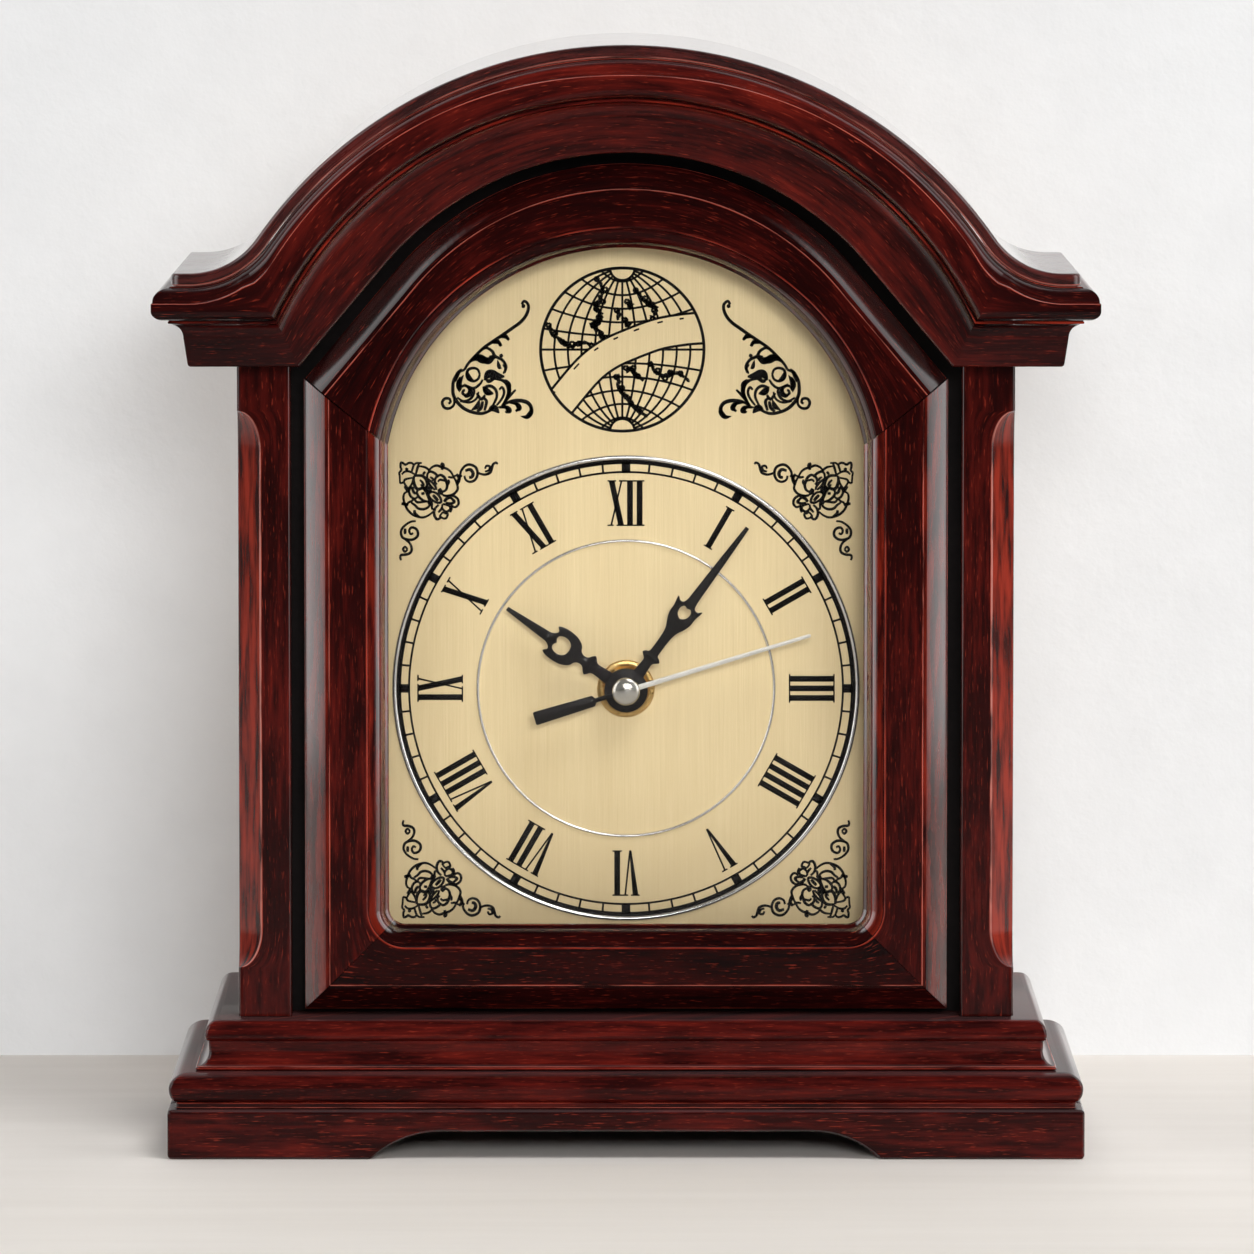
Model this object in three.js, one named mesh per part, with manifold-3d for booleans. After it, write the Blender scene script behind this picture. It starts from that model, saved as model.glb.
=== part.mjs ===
// Arched table clock in red lacquered wood, with a quartz movement behind a gilt dial.
// Millimetres, +Z up, the dial faces -Y. The origin is under the middle of the clock, on the table.
import * as THREE from 'three';
import { mergeVertices } from 'three/addons/utils/BufferGeometryUtils.js';
import Module from 'manifold-3d';

const wasm = await Module();
wasm.setup();

// Fits
const glueGap = 0.15; // glue line between wooden pieces, and the seat of a clamped piece
const runGap = 0.1; // radial clearance of a turning shaft
const pressGap = 0.06; // radial fit of a hand on its tube, wide enough for the facets

// Case
const caseDepth = 88;
const sideThickness = 7;
const stileWidth = 12.9;
const stileDepth = 11;
const frontBoardThickness = 9.7;
const backThickness = 4;
const backRecess = 1;
const cleatSize = 9;
const chamferWidth = 5.6;
const chamferLowStop = 12;
const chamferHighStop = 11.3;
const chamferRunOut = 9.3;
const stileEdge = 0.5;

// Base
const plinthHeight = 12.2;
const plinthProjection = 16.75;
const plinthRail = 14;
const footGapWidth = 123;
const footGapHeight = 6.75;
const footGapRadius = 24;
const lowerTierHeight = 8.5;
const lowerTierProjection = 16.4;
const upperTierHeight = 12;
const upperTierProjection = 10.2;
const upperTierNose = 8;
const baseBackOverhang = 2;
const cornerEase = 0.8; // flat on the sharp corners of the base boards
const lowerFilletHeight = 1.4;
const lowerFilletSetback = 1.6;
const upperNoseRadius = 2.5;
const upperNeckSetback = 1.2;
const upperFilletHeight = 1;

// Crown, heights above the table
const crownBottom = 191.5;
const coveHeight = 11.5; // at the ears
const noseHeight = 11.2;
const coveHeadHeight = 13.3; // at the apex
const noseHeadHeight = 12.7;
const coveSpread = 17; // how much wider each arch is struck than the one inside it
const noseSpread = 15;
const ogeeRadius = 20;
const roofThickness = 3;
const roofProjection = 15.2;
const crownProjection = 19.8;
const haunchAngle = 50; // degrees from the apex, where the inner arcs run straight
const coveProjection = 17;
const bandProjection = 11.4;
const noseLip = 0.4; // step of the nose past the edge of the roof
const noseCrest = 3.5; // drop from the roof to the fullest part of the nose
const noseUnderRadius = 3;
const coveFillet = 0.8;
const coveDrop = 5.4;
const bandDrop = 6;
const bandEase = 0.6;
const earRun = 7; // how far the ogee starts outside the end of the seam
const roofEase = 0.8;

// Fixed front frame round the glass
const frameFloorGap = 1.5;
const frameWidth = 20.3;
const frameHeadWidth = 20.4;
const frameSpread = 14.1;
const frameRecessGap = 3.2; // black reveal between the frame and the case
const frameBead = 6;
const frameOvolo = 5;
const frameFaceSetback = 0.6;
const beadDrop = 4.6;
const beadStep = 0.5;
const ovoloDrop = 4.9;
const ovoloStep = 0.7;
const ovoloFillet = 0.8;
const openingWidth = 115.4;
const openingRise = 27.9; // of the arch above the crown's lower edge
const openingSpread = 1; // how far the arch is struck past the sides
const openingCorner = 4;
const glassThickness = 2;
const glassRebate = 3.4;
const glassSetback = 8.3;
const shoulderInset = 0.4;

// Dial
const dialDrop = 0.2;
const dialSetback = 21;
const dialThickness = 0.8;
const dialMargin = 8;
const dialBoardThickness = 4;
const dialBoardMargin = 15;
const ringClearance = 1.1;
const innerRingShare = 0.64; // of the outer ring's radius
const ringWidth = 1.2;
const ringHeight = 0.6;

// Movement
const movementSize = 56;
const movementDepth = 15.6;
const movementWall = 1.4;
const gasketThickness = 1;
const gasketRadius = 9;
const stemRadius = 4;
const stemBore = 2.7;
const washerRadius = 7;
const washerThickness = 0.6;
const washerRim = 0.9;
const nutRadius = 5.5;
const nutThickness = 2.3;
const stemReach = 3.6; // past the dial face
const hourTubeRadius = 2.5;
const minuteTubeRadius = 1.65;
const secondArborRadius = 0.6;
const cellRadius = 7.25;
const cellLength = 50.5;
const cellNubRadius = 2.75;
const cellNubLength = 1.3;
const contactThickness = 0.4;

// Gear train: centre distances as shares of the movement's size, and directions seen from the front,
// in degrees from +X
const motionShare = 0.193;
const motionAngle = 0;
const thirdShare = 0.179;
const thirdAngle = 130;
const transferShare = 0.186;
const transferAngle = 55;
const rotorShare = 0.15;
const rotorAngle = 20;
const wheelThickness = 1;
const layerPitch = 1.6;
const firstLayer = 2.1; // depth of the hour wheel behind the front of the housing
const pivotRadius = 0.5;
const pivotDepth = 0.8;
const addendum = 0.7; // in modules
const dedendum = 0.95;
const setArborRadius = 1.2;
const knobRadius = 6;
const knobThickness = 4;
const magnetRadius = 2.6;
const statorThickness = 0.8;
const statorLegShare = 0.045; // of the movement's size, as are the next four
const statorShare = 0.09; // below the rotor
const coilShare = 0.168;
const coilOffsetShare = 0.01; // beside the rotor
const coilDropShare = 0.118; // below the top of the housing
const circuitLength = 18;
const circuitWidth = 7;
const circuitMargin = 2.4;
const magnetThickness = 1.5;
const magnetGap = 0.4;
const postRadius = 1.1;
const bayFloor = 1.1;
const knobClearance = 0.6;

// Hands
const hourHandLift = 4.2; // from the dial face
const minuteHandLift = 5.8;
const secondHandLift = 7.2;
const handThickness = 0.5;
const hourHandShare = 0.625; // of the outer ring's radius
const minuteHandShare = 0.88;
const secondHandShare = 0.832;
const secondTailShare = 0.413;
const hourHandTurn = 304.6; // clockwise from twelve, degrees
const minuteHandTurn = 36.6;
const secondHandTurn = 73.1;
const handHubRadius = 5.3;
const handBar = 1.4; // half widths of the blade
const handCollar = 2.6;
const handPoint = 0.5;
const hourCollarReach = 10.6;
const hourShieldReach = 14.6;
const hourShieldLength = 7.4;
const hourShieldHalf = 4;
const hourEyeRadius = 1.9;
const minuteCollarReach = 10.2;
const minuteShieldReach = 19.6;
const minuteShieldLength = 6.8;
const minuteShieldHalf = 3.7;
const minuteEyeRadius = 1.5;
const secondHubRadius = 2.6;
const secondNeck = 0.55;
const secondPoint = 0.3;
const tailHalf = 1.5;
const tailReach = 8;
const capSkirt = 0.5;
const capRadius = 3.4;
const capHeight = 1.7;

// Back panel
const accessWidth = 92;
const accessHeight = 96;
const accessCorner = 10;
const screwRadius = 1.5;
const screwHeadRadius = 3;
const screwHeadHeight = 1.6;
const screwLength = 9;
const screwLowMargin = 14;
const screwHighMargin = 12;

// Frame worked out from the sizes above
const yFront = -(crownProjection + caseDepth + baseBackOverhang) / 2 + crownProjection;
const yBack = yFront + caseDepth;
const lowerTierBottom = plinthHeight;
const upperTierBottom = lowerTierBottom + lowerTierHeight;
const caseFloor = upperTierBottom + upperTierHeight;
const openingHalf = openingWidth / 2;
const openingApex = crownBottom + openingRise;
const openingRadius = openingHalf + openingSpread;
const frameHalf = openingHalf + frameWidth;
const caseHalf = frameHalf + frameRecessGap + stileWidth;
const frameBottom = caseFloor + frameFloorGap;
const frameArcRadius = openingRadius + frameSpread;
const frameApex = openingApex + frameHeadWidth;
const crownInnerRadius = frameArcRadius + frameRecessGap;
const crownInnerApex = frameApex + frameRecessGap;
const seamRadius = crownInnerRadius + coveSpread;
const seamApex = crownInnerApex + coveHeadHeight;
const crownRadius = seamRadius + noseSpread;
const crownApex = seamApex + noseHeadHeight;
const crownSeam = crownBottom + coveHeight;
const earTop = crownSeam + noseHeight;
const openingBottom = frameBottom + frameWidth;
const openingArcCentre = openingApex - openingRadius;
const openingSpring = openingArcCentre + Math.sqrt(openingRadius ** 2 - openingHalf ** 2);
const outerRingRadius = openingHalf - ringClearance;
const innerRingRadius = innerRingShare * outerRingRadius;
const dialAxisHeight = openingBottom + outerRingRadius - dialDrop;
const yBoard = yFront + stileDepth;
const yDial = yFront + dialSetback;
const yDialBoard = yDial + dialThickness + glueGap;
const yMovement = yDialBoard + dialBoardThickness + gasketThickness + 2 * glueGap;

const rad = THREE.MathUtils.degToRad;

// Finishes
const finish = {
  lacquer: new THREE.MeshStandardMaterial({ color: 0x4a1210, roughness: 0.15, metalness: 0 }),
  blackPaint: new THREE.MeshStandardMaterial({ color: 0x0c0b0b, roughness: 0.6, metalness: 0 }),
  board: new THREE.MeshStandardMaterial({ color: 0x8a6a48, roughness: 0.8, metalness: 0 }),
  gilt: new THREE.MeshStandardMaterial({ color: 0xd8bf8a, roughness: 0.35, metalness: 0.9 }),
  polished: new THREE.MeshStandardMaterial({ color: 0xd9d5cc, roughness: 0.1, metalness: 1 }),
  brass: new THREE.MeshStandardMaterial({ color: 0xb8924a, roughness: 0.3, metalness: 1 }),
  blackHand: new THREE.MeshStandardMaterial({ color: 0x121212, roughness: 0.4, metalness: 0.3 }),
  steel: new THREE.MeshStandardMaterial({ color: 0xb4b4b4, roughness: 0.25, metalness: 1 }),
  glass: new THREE.MeshStandardMaterial({ color: 0xffffff, roughness: 0.02, transparent: true, opacity: 0.15 }),
  housing: new THREE.MeshStandardMaterial({ color: 0x1a1a1c, roughness: 0.5, metalness: 0 }),
  nylon: new THREE.MeshStandardMaterial({ color: 0xe8e4da, roughness: 0.5, metalness: 0 }),
  rubber: new THREE.MeshStandardMaterial({ color: 0x1c1c1c, roughness: 0.9, metalness: 0 }),
  copper: new THREE.MeshStandardMaterial({ color: 0xa8562c, roughness: 0.35, metalness: 0.9 }),
  circuit: new THREE.MeshStandardMaterial({ color: 0x2c5a34, roughness: 0.5, metalness: 0 }),
  cell: new THREE.MeshStandardMaterial({ color: 0x2a2a2e, roughness: 0.35, metalness: 0.3 }),
};

const clock = new THREE.Group();

function place(name, geometry, material) {
  const mesh = new THREE.Mesh(geometry, material.clone());
  mesh.name = name;
  clock.add(mesh);
  return mesh;
}

// Geometry helpers

function outward(geometry) {
  const bare = geometry.clone();
  bare.deleteAttribute('normal');
  bare.deleteAttribute('uv');
  const merged = mergeVertices(bare, 1e-4);
  const p = merged.getAttribute('position');
  const index = merged.getIndex().array;
  const a = new THREE.Vector3();
  const b = new THREE.Vector3();
  const c = new THREE.Vector3();
  let volume = 0;
  for (let i = 0; i < index.length; i += 3) {
    a.fromBufferAttribute(p, index[i]);
    b.fromBufferAttribute(p, index[i + 1]);
    c.fromBufferAttribute(p, index[i + 2]);
    volume += a.dot(b.cross(c));
  }
  if (volume < 0) {
    for (let i = 0; i < index.length; i += 3) {
      const first = index[i];
      index[i] = index[i + 1];
      index[i + 1] = first;
    }
  }
  return merged;
}

function toManifold(geometry) {
  const closed = outward(geometry);
  const vertProperties = new Float32Array(closed.getAttribute('position').array);
  const triVerts = new Uint32Array(closed.getIndex().array);
  return new wasm.Manifold(new wasm.Mesh({ numProp: 3, vertProperties, triVerts }));
}

function fromManifold(body) {
  const mesh = body.getMesh();
  const geometry = new THREE.BufferGeometry();
  geometry.setAttribute('position', new THREE.BufferAttribute(new Float32Array(mesh.vertProperties), 3));
  geometry.setIndex(new THREE.BufferAttribute(new Uint32Array(mesh.triVerts), 1));
  return geometry;
}

function join(...geometries) {
  return fromManifold(geometries.map(toManifold).reduce((whole, next) => whole.add(next)));
}

function cut(geometry, ...tools) {
  const body = toManifold(geometry);
  return fromManifold(tools.map(toManifold).reduce((whole, tool) => whole.subtract(tool), body));
}

// A closed solid through a row of rings that all follow the same outline, capped at both ends.
// A cap that is bent is given as several groups of outline points, one for each flat part of it.
function loft(rings, outline, capGroups = [outline.map((_, i) => i)]) {
  const count = outline.length;
  const index = [];
  for (let r = 0; r + 1 < rings.length; r++) {
    for (let i = 0; i < count; i++) {
      const a = r * count + i;
      const b = r * count + ((i + 1) % count);
      index.push(a, b, b + count, a, b + count, a + count);
    }
  }
  const last = (rings.length - 1) * count;
  const turn = Math.sign(THREE.ShapeUtils.area(outline));
  for (const group of capGroups) {
    for (const corners of THREE.ShapeUtils.triangulateShape(group.map((i) => outline[i]), [])) {
      const [a, b, c] = corners.map((corner) => group[corner]);
      const same = Math.sign(THREE.ShapeUtils.area([outline[a], outline[b], outline[c]])) === turn;
      const [p, q] = same ? [a, b] : [b, a];
      index.push(q, p, c, last + p, last + q, last + c);
    }
  }
  const geometry = new THREE.BufferGeometry();
  geometry.setAttribute('position', new THREE.Float32BufferAttribute(rings.flat(2), 3));
  geometry.setIndex(index);
  return outward(geometry);
}

// A flat board with its outline in X and Z, from yNear back to yFar.
function plate(shape, yNear, yFar, curveSegments = 10) {
  const depth = yFar - yNear;
  const geometry = new THREE.ExtrudeGeometry(shape, { depth, bevelEnabled: false, curveSegments });
  return geometry.rotateX(Math.PI / 2).translate(0, yFar, 0);
}

function block(x0, x1, y0, y1, z0, z1) {
  const geometry = new THREE.BoxGeometry(x1 - x0, y1 - y0, z1 - z0);
  return geometry.translate((x0 + x1) / 2, (y0 + y1) / 2, (z0 + z1) / 2);
}

// A turned piece about the Y axis through (x, z); profile pairs are radius and y.
function turned(profile, x, z, segments = 16) {
  const points = profile.map(([radius, y]) => new THREE.Vector2(radius, y));
  return outward(new THREE.LatheGeometry(points, segments).translate(x, 0, z));
}

function rod(radius, y0, y1, x, z, segments = 16) {
  return turned([[0, y0], [radius, y0], [radius, y1], [0, y1]], x, z, segments);
}

function tube(outer, inner, y0, y1, x, z, segments = 16) {
  return turned([[inner, y0], [outer, y0], [outer, y1], [inner, y1], [inner, y0]], x, z, segments);
}

function roundedRectangle(x0, x1, z0, z1, r) {
  const shape = new THREE.Shape();
  shape.moveTo(x0 + r, z0).lineTo(x1 - r, z0).absarc(x1 - r, z0 + r, r, -Math.PI / 2, 0);
  shape.lineTo(x1, z1 - r).absarc(x1 - r, z1 - r, r, 0, Math.PI / 2);
  shape.lineTo(x0 + r, z1).absarc(x0 + r, z1 - r, r, Math.PI / 2, Math.PI);
  shape.lineTo(x0, z0 + r).absarc(x0 + r, z0 + r, r, Math.PI, 1.5 * Math.PI);
  return shape;
}

// The window's outline, grown by an offset: straight sides, rounded lower corners and an arched head.
function windowShape(offset) {
  const half = openingHalf + offset;
  const low = openingBottom - offset;
  const r = openingCorner + offset;
  const radius = openingRadius + offset;
  const spring = Math.asin(Math.sqrt(radius ** 2 - half ** 2) / radius);
  const shape = new THREE.Shape();
  shape.moveTo(-half + r, low).lineTo(half - r, low).absarc(half - r, low + r, r, -Math.PI / 2, 0);
  shape.absarc(0, openingArcCentre, radius, spring, Math.PI - spring);
  shape.lineTo(-half, low + r).absarc(-half + r, low + r, r, Math.PI, 1.5 * Math.PI);
  return shape;
}

// A base board whose moulded edge runs all round it; edge pairs are projection from the case and height.
function mouldedBoard(edge) {
  const corner = [[1, 1], [-1, 1], [-1, -1], [1, -1]];
  const rings = edge.map(([projection, z]) => {
    const half = caseHalf + projection;
    const y0 = yFront - projection;
    const y1 = yBack + Math.min(projection, baseBackOverhang);
    return corner.flatMap(([sx, sy], k) => {
      const x = sx * half;
      const y = sy > 0 ? y1 : y0;
      const alongX = [x - sx * cornerEase, y, z];
      const alongY = [x, y - sy * cornerEase, z];
      return k % 2 ? [alongX, alongY] : [alongY, alongX];
    });
  });
  const outline = rings[0].map(([x, y]) => new THREE.Vector2(x, y));
  return loft(rings, outline);
}

// Base

function plinthFront() {
  const half = caseHalf + plinthProjection;
  const top = lowerTierBottom - glueGap;
  const foot = footGapWidth / 2;
  const run = Math.sqrt(2 * footGapRadius * footGapHeight - footGapHeight ** 2);
  const sweep = Math.asin(run / footGapRadius);
  const flat = foot - run;
  const centre = footGapHeight - footGapRadius;
  const shape = new THREE.Shape();
  shape.moveTo(-half, 0).lineTo(-foot, 0);
  shape.absarc(-flat, centre, footGapRadius, Math.PI / 2 + sweep, Math.PI / 2, true);
  shape.absarc(flat, centre, footGapRadius, Math.PI / 2, Math.PI / 2 - sweep, true);
  shape.lineTo(half, 0).lineTo(half, top).lineTo(-half, top);
  const y0 = yFront - plinthProjection;
  return plate(shape, y0, y0 + plinthRail, 6);
}

function plinthRails() {
  const half = caseHalf + plinthProjection;
  const top = lowerTierBottom - glueGap;
  const y0 = yFront - plinthProjection + plinthRail + glueGap;
  const y1 = yBack + baseBackOverhang;
  const yRail = y1 - plinthRail;
  place('plinth_front', plinthFront(), finish.lacquer);
  place('plinth_back', block(-half, half, yRail, y1, 0, top), finish.lacquer);
  place('plinth_left', block(-half, -half + plinthRail, y0, yRail - glueGap, 0, top), finish.lacquer);
  place('plinth_right', block(half - plinthRail, half, y0, yRail - glueGap, 0, top), finish.lacquer);
}

function lowerTierEdge() {
  const z0 = lowerTierBottom;
  const radius = (lowerTierHeight - lowerFilletHeight) / 2;
  const middle = z0 + lowerFilletHeight + radius;
  const fillet = lowerTierProjection - lowerFilletSetback;
  const edge = [[fillet, z0], [fillet, z0 + lowerFilletHeight - glueGap]];
  for (let i = 0; i <= 8; i++) {
    const turn = -Math.PI / 2 + (Math.PI * i) / 8;
    edge.push([lowerTierProjection - radius * (1 - Math.cos(turn)), middle + radius * Math.sin(turn)]);
  }
  return edge;
}

function upperTierEdge() {
  const z0 = upperTierBottom + glueGap;
  const top = caseFloor;
  const noseRadius = upperNoseRadius;
  const noseMiddle = top - noseRadius;
  const neck = upperTierNose - upperNeckSetback;
  const coveTop = noseMiddle - noseRadius - upperFilletHeight / 2;
  const coveLow = z0 + upperFilletHeight;
  const edge = [[upperTierProjection, z0], [upperTierProjection, coveLow]];
  for (let i = 1; i <= 4; i++) {
    const turn = (Math.PI / 2) * (i / 4);
    const run = upperTierProjection - 2 * glueGap - neck;
    edge.push([neck + run * (1 - Math.sin(turn)), coveTop - (coveTop - coveLow) * Math.cos(turn)]);
  }
  for (let i = 0; i <= 6; i++) {
    const turn = -Math.PI / 2 + (Math.PI * i) / 6;
    edge.push([upperTierNose - noseRadius * (1 - Math.cos(turn)), noseMiddle + noseRadius * Math.sin(turn)]);
  }
  return edge;
}

function base() {
  plinthRails();
  place('base_lower_board', mouldedBoard(lowerTierEdge()), finish.lacquer);
  place('base_upper_board', mouldedBoard(upperTierEdge()), finish.lacquer);
}

// Crown paths: half outlines from the apex to the right, mirrored for the left

const outerCentre = crownApex - crownRadius;
const ogeeCentreZ = earTop + ogeeRadius;
const ogeeCentreX = Math.sqrt((crownRadius + ogeeRadius) ** 2 - (ogeeCentreZ - outerCentre) ** 2);
const ogeeTurn = Math.asin(ogeeCentreX / (crownRadius + ogeeRadius));

// Height of the roof line at x, moved inwards by an offset along its normal.
function roofHeight(x, offset) {
  const reach = Math.abs(x);
  const split = (crownRadius - offset) * Math.sin(ogeeTurn);
  if (reach <= split) {
    return outerCentre + Math.sqrt((crownRadius - offset) ** 2 - reach ** 2);
  }
  if (reach >= ogeeCentreX) {
    return earTop - offset;
  }
  return ogeeCentreZ - Math.sqrt((ogeeRadius + offset) ** 2 - (ogeeCentreX - reach) ** 2);
}

function archPoint(apex, radius, turn) {
  return [radius * Math.sin(turn), apex - radius * (1 - Math.cos(turn))];
}

// An arc from the apex that runs out straight at the haunch, down to a level; share goes from 0 to 1.
function haunchedArch(apex, radius, level, share) {
  const limit = rad(haunchAngle);
  const [tx, tz] = archPoint(apex, radius, limit);
  const arcLength = radius * limit;
  const straight = (tz - level) / Math.sin(limit);
  const travel = share * (arcLength + straight);
  if (travel <= arcLength) {
    return archPoint(apex, radius, travel / radius);
  }
  const past = travel - arcLength;
  return [tx + past * Math.cos(limit), tz - past * Math.sin(limit)];
}

function seamPoint(share) {
  const drop = (seamApex - crownSeam) / seamRadius;
  return archPoint(seamApex, seamRadius, share * Math.acos(1 - drop));
}

const seamCornerX = seamPoint(1)[0];
const innerCornerX = haunchedArch(crownInnerApex, crownInnerRadius, crownBottom, 1)[0];
const archSteps = 14;
const earSteps = 6;

// One station of the crown front: the upper and lower edge of a layer in X and Z.
function archStations(upper, lower) {
  const half = [];
  for (let i = 0; i <= archSteps; i++) {
    const share = i / archSteps;
    half.push({ upper: upper(share), lower: lower(share) });
  }
  return half;
}

function mirrored(half) {
  const flip = ([x, z]) => [-x, z];
  const left = half.slice(1).reverse();
  return [...left.map(({ upper, lower }) => ({ upper: flip(upper), lower: flip(lower) })), ...half];
}

// A layer of the crown front. Section points have an edge, an inset from it and a projection from the case.
// The last station at each end is mitred, so a point moves out sideways by its own projection.
function crownLayer(half, section, earUpper, earLower) {
  const ringAt = ({ upper, lower }) => {
    const dx = lower[0] - upper[0];
    const dz = lower[1] - upper[1];
    const length = Math.hypot(dx, dz);
    return section.map(({ edge, inset, out }) => {
      const along = edge === 'upper' ? inset / length : 1 - inset / length;
      return [upper[0] + dx * along, yFront - out, upper[1] + dz * along];
    });
  };
  const [cornerUpper, cornerLower] = [half[archSteps].upper[0], half[archSteps].lower[0]];
  const earRing = (side, share) => section.map(({ edge, inset, out }) => {
    const reach = caseHalf + Math.max(out, 0) - glueGap;
    const start = edge === 'upper' ? cornerUpper : cornerLower;
    const x = start + (reach - start) * share;
    const z = edge === 'upper' ? earUpper(x) - inset : earLower + inset;
    return [side * x, yFront - out, z];
  });
  const shares = Array.from({ length: earSteps }, (_, i) => (i + 1) / earSteps);
  const rightEar = shares.map((share) => earRing(1, share));
  const leftEar = shares.map((share) => earRing(-1, share)).reverse();
  const rings = [...leftEar, ...mirrored(half).map(ringAt), ...rightEar];
  const outline = rightEar[earSteps - 1].map(([, y, z]) => new THREE.Vector2(yFront - y, z));
  const end = section.length - 1;
  const inCase = [0, 1, end - 1, end];
  const outside = section.map((_, i) => i).slice(1, end);
  return loft(rings, outline, [inCase, outside]);
}

// The matching return along one side of the case, from the mitre to the back.
function crownReturn(side, section, earUpper, earLower) {
  const heights = section.map(({ edge, inset, out }) => {
    return edge === 'upper' ? earUpper(caseHalf + Math.max(out, 0)) - inset : earLower + inset;
  });
  const outline = section.map(({ out }, i) => new THREE.Vector2(out, heights[i]));
  const ring = (yOf) => section.map(({ out }, i) => [side * (caseHalf + out), yOf(out), heights[i]]);
  return loft([ring((out) => yFront - out + glueGap), ring(() => yBack)], outline);
}

// The first and last pair of points run from inside the case, where there is any, to its face.
function betweenFaces(back, upperPoints, lowerPoints) {
  const inCase = back < 0;
  const start = [{ edge: 'upper', inset: 0, out: Math.max(back, 0) }];
  const finishAt = [{ edge: 'lower', inset: 0, out: Math.max(back, 0) }];
  if (inCase) {
    start.unshift({ edge: 'upper', inset: 0, out: back });
    finishAt.push({ edge: 'lower', inset: 0, out: back });
  }
  return [...start, ...upperPoints, ...lowerPoints, ...finishAt];
}

function noseSection(back) {
  const lip = roofProjection + noseLip;
  const level = ogeeCentreX - caseHalf;
  const upper = [0.2, 0.4, 0.7, 1].map((share) => ({ edge: 'upper', inset: 0, out: level * share }));
  upper.push({ edge: 'upper', inset: 0, out: lip });
  for (let i = 1; i <= 4; i++) {
    const turn = (Math.PI / 2) * (i / 4);
    const out = lip + (crownProjection - lip) * Math.sin(turn);
    upper.push({ edge: 'upper', inset: noseCrest * (1 - 0.92 * Math.cos(turn)), out });
  }
  const lower = [];
  for (let i = 0; i <= 3; i++) {
    const turn = (Math.PI / 2) * (i / 3);
    const out = crownProjection - noseUnderRadius * (1 - Math.cos(turn));
    lower.push({ edge: 'lower', inset: noseUnderRadius * (1 - Math.sin(turn)), out });
  }
  return betweenFaces(back, upper, lower);
}

function coveSection(back) {
  const upper = [{ edge: 'upper', inset: 0, out: coveProjection }];
  const run = coveProjection - bandProjection - bandEase;
  for (let i = 0; i <= 4; i++) {
    const turn = (Math.PI / 2) * (i / 4);
    const out = coveProjection - glueGap - run * Math.sin(turn);
    upper.push({ edge: 'upper', inset: coveFillet + (coveDrop - coveFillet) * (1 - Math.cos(turn)), out });
  }
  upper.push({ edge: 'upper', inset: bandDrop, out: bandProjection });
  const lower = [
    { edge: 'lower', inset: bandEase, out: bandProjection },
    { edge: 'lower', inset: 0, out: bandProjection - bandEase },
  ];
  return betweenFaces(back, upper, lower);
}

function roof() {
  const y0 = yFront - roofProjection;
  const ease = roofEase;
  const end = caseHalf + roofProjection;
  const section = [
    [0, yBack], [0, y0 + ease], [0.3 * ease, y0 + 0.3 * ease],
    [ease, y0], [roofThickness, y0], [roofThickness, yBack],
  ];
  const steps = 2 * archSteps - 2;
  const rings = [];
  for (let i = -steps; i <= steps; i++) {
    const x = end * Math.sin((Math.PI / 2) * (i / steps));
    rings.push(section.map(([inset, y]) => [x, y, roofHeight(x, inset)]));
  }
  return loft(rings, section.map(([inset, y]) => new THREE.Vector2(y, -inset)));
}

function crown() {
  const under = roofThickness + glueGap;
  const noseTop = (x) => roofHeight(x, under);
  const noseHalf = archStations(
    (share) => {
      const x = (seamCornerX + earRun) * Math.sin((Math.PI / 2) * share);
      return [x, noseTop(x)];
    },
    (share) => seamPoint(Math.sin((Math.PI / 2) * share)),
  );
  const coveTop = () => crownSeam - glueGap;
  const coveHalf = archStations(
    (share) => {
      const [x, z] = seamPoint(Math.sin((Math.PI / 2) * share));
      return [x, z - glueGap];
    },
    (share) => haunchedArch(crownInnerApex, crownInnerRadius, crownBottom, Math.sin((Math.PI / 2) * share)),
  );
  const back = -stileDepth + glueGap;
  place('roof_panel', roof(), finish.lacquer);
  place('crown_nose_front', crownLayer(noseHalf, noseSection(back), noseTop, crownSeam), finish.lacquer);
  place('crown_cove_front', crownLayer(coveHalf, coveSection(back), coveTop, crownBottom), finish.lacquer);
  for (const [label, side] of [['left', -1], ['right', 1]]) {
    const nose = crownReturn(side, noseSection(glueGap), noseTop, crownSeam);
    const cove = crownReturn(side, coveSection(glueGap), coveTop, crownBottom);
    place(`crown_nose_${label}`, nose, finish.lacquer);
    place(`crown_cove_${label}`, cove, finish.lacquer);
  }
}

// Case

// A front post with a stopped chamfer on its outer corner.
function stile(side) {
  const z0 = caseFloor + glueGap;
  const z1 = crownBottom - glueGap;
  const low = caseFloor + chamferLowStop;
  const high = crownBottom - chamferHighStop;
  const stations = [[z0, stileEdge]];
  const steps = 6;
  for (let i = 0; i <= steps; i++) {
    const share = i / steps;
    const width = Math.max(stileEdge, chamferWidth * Math.sqrt(1 - (1 - share) ** 2));
    stations.push([low + chamferRunOut * share, width]);
  }
  for (let i = steps; i >= 0; i--) {
    const share = i / steps;
    const width = Math.max(stileEdge, chamferWidth * Math.sqrt(1 - (1 - share) ** 2));
    stations.push([high - chamferRunOut * share, width]);
  }
  stations.push([z1, stileEdge]);
  const inner = caseHalf - stileWidth;
  const yRear = yBoard - glueGap;
  const corners = (width) => [
    [inner, yRear], [inner, yFront + stileEdge], [inner + stileEdge, yFront],
    [caseHalf - width, yFront], [caseHalf, yFront + width], [caseHalf, yRear],
  ];
  const rings = stations.map(([z, width]) => corners(width).map(([x, y]) => [side * x, y, z]));
  return loft(rings, corners(stileEdge).map(([x, y]) => new THREE.Vector2(side * x, y)));
}

const innerHalf = caseHalf - sideThickness - glueGap;

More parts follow.
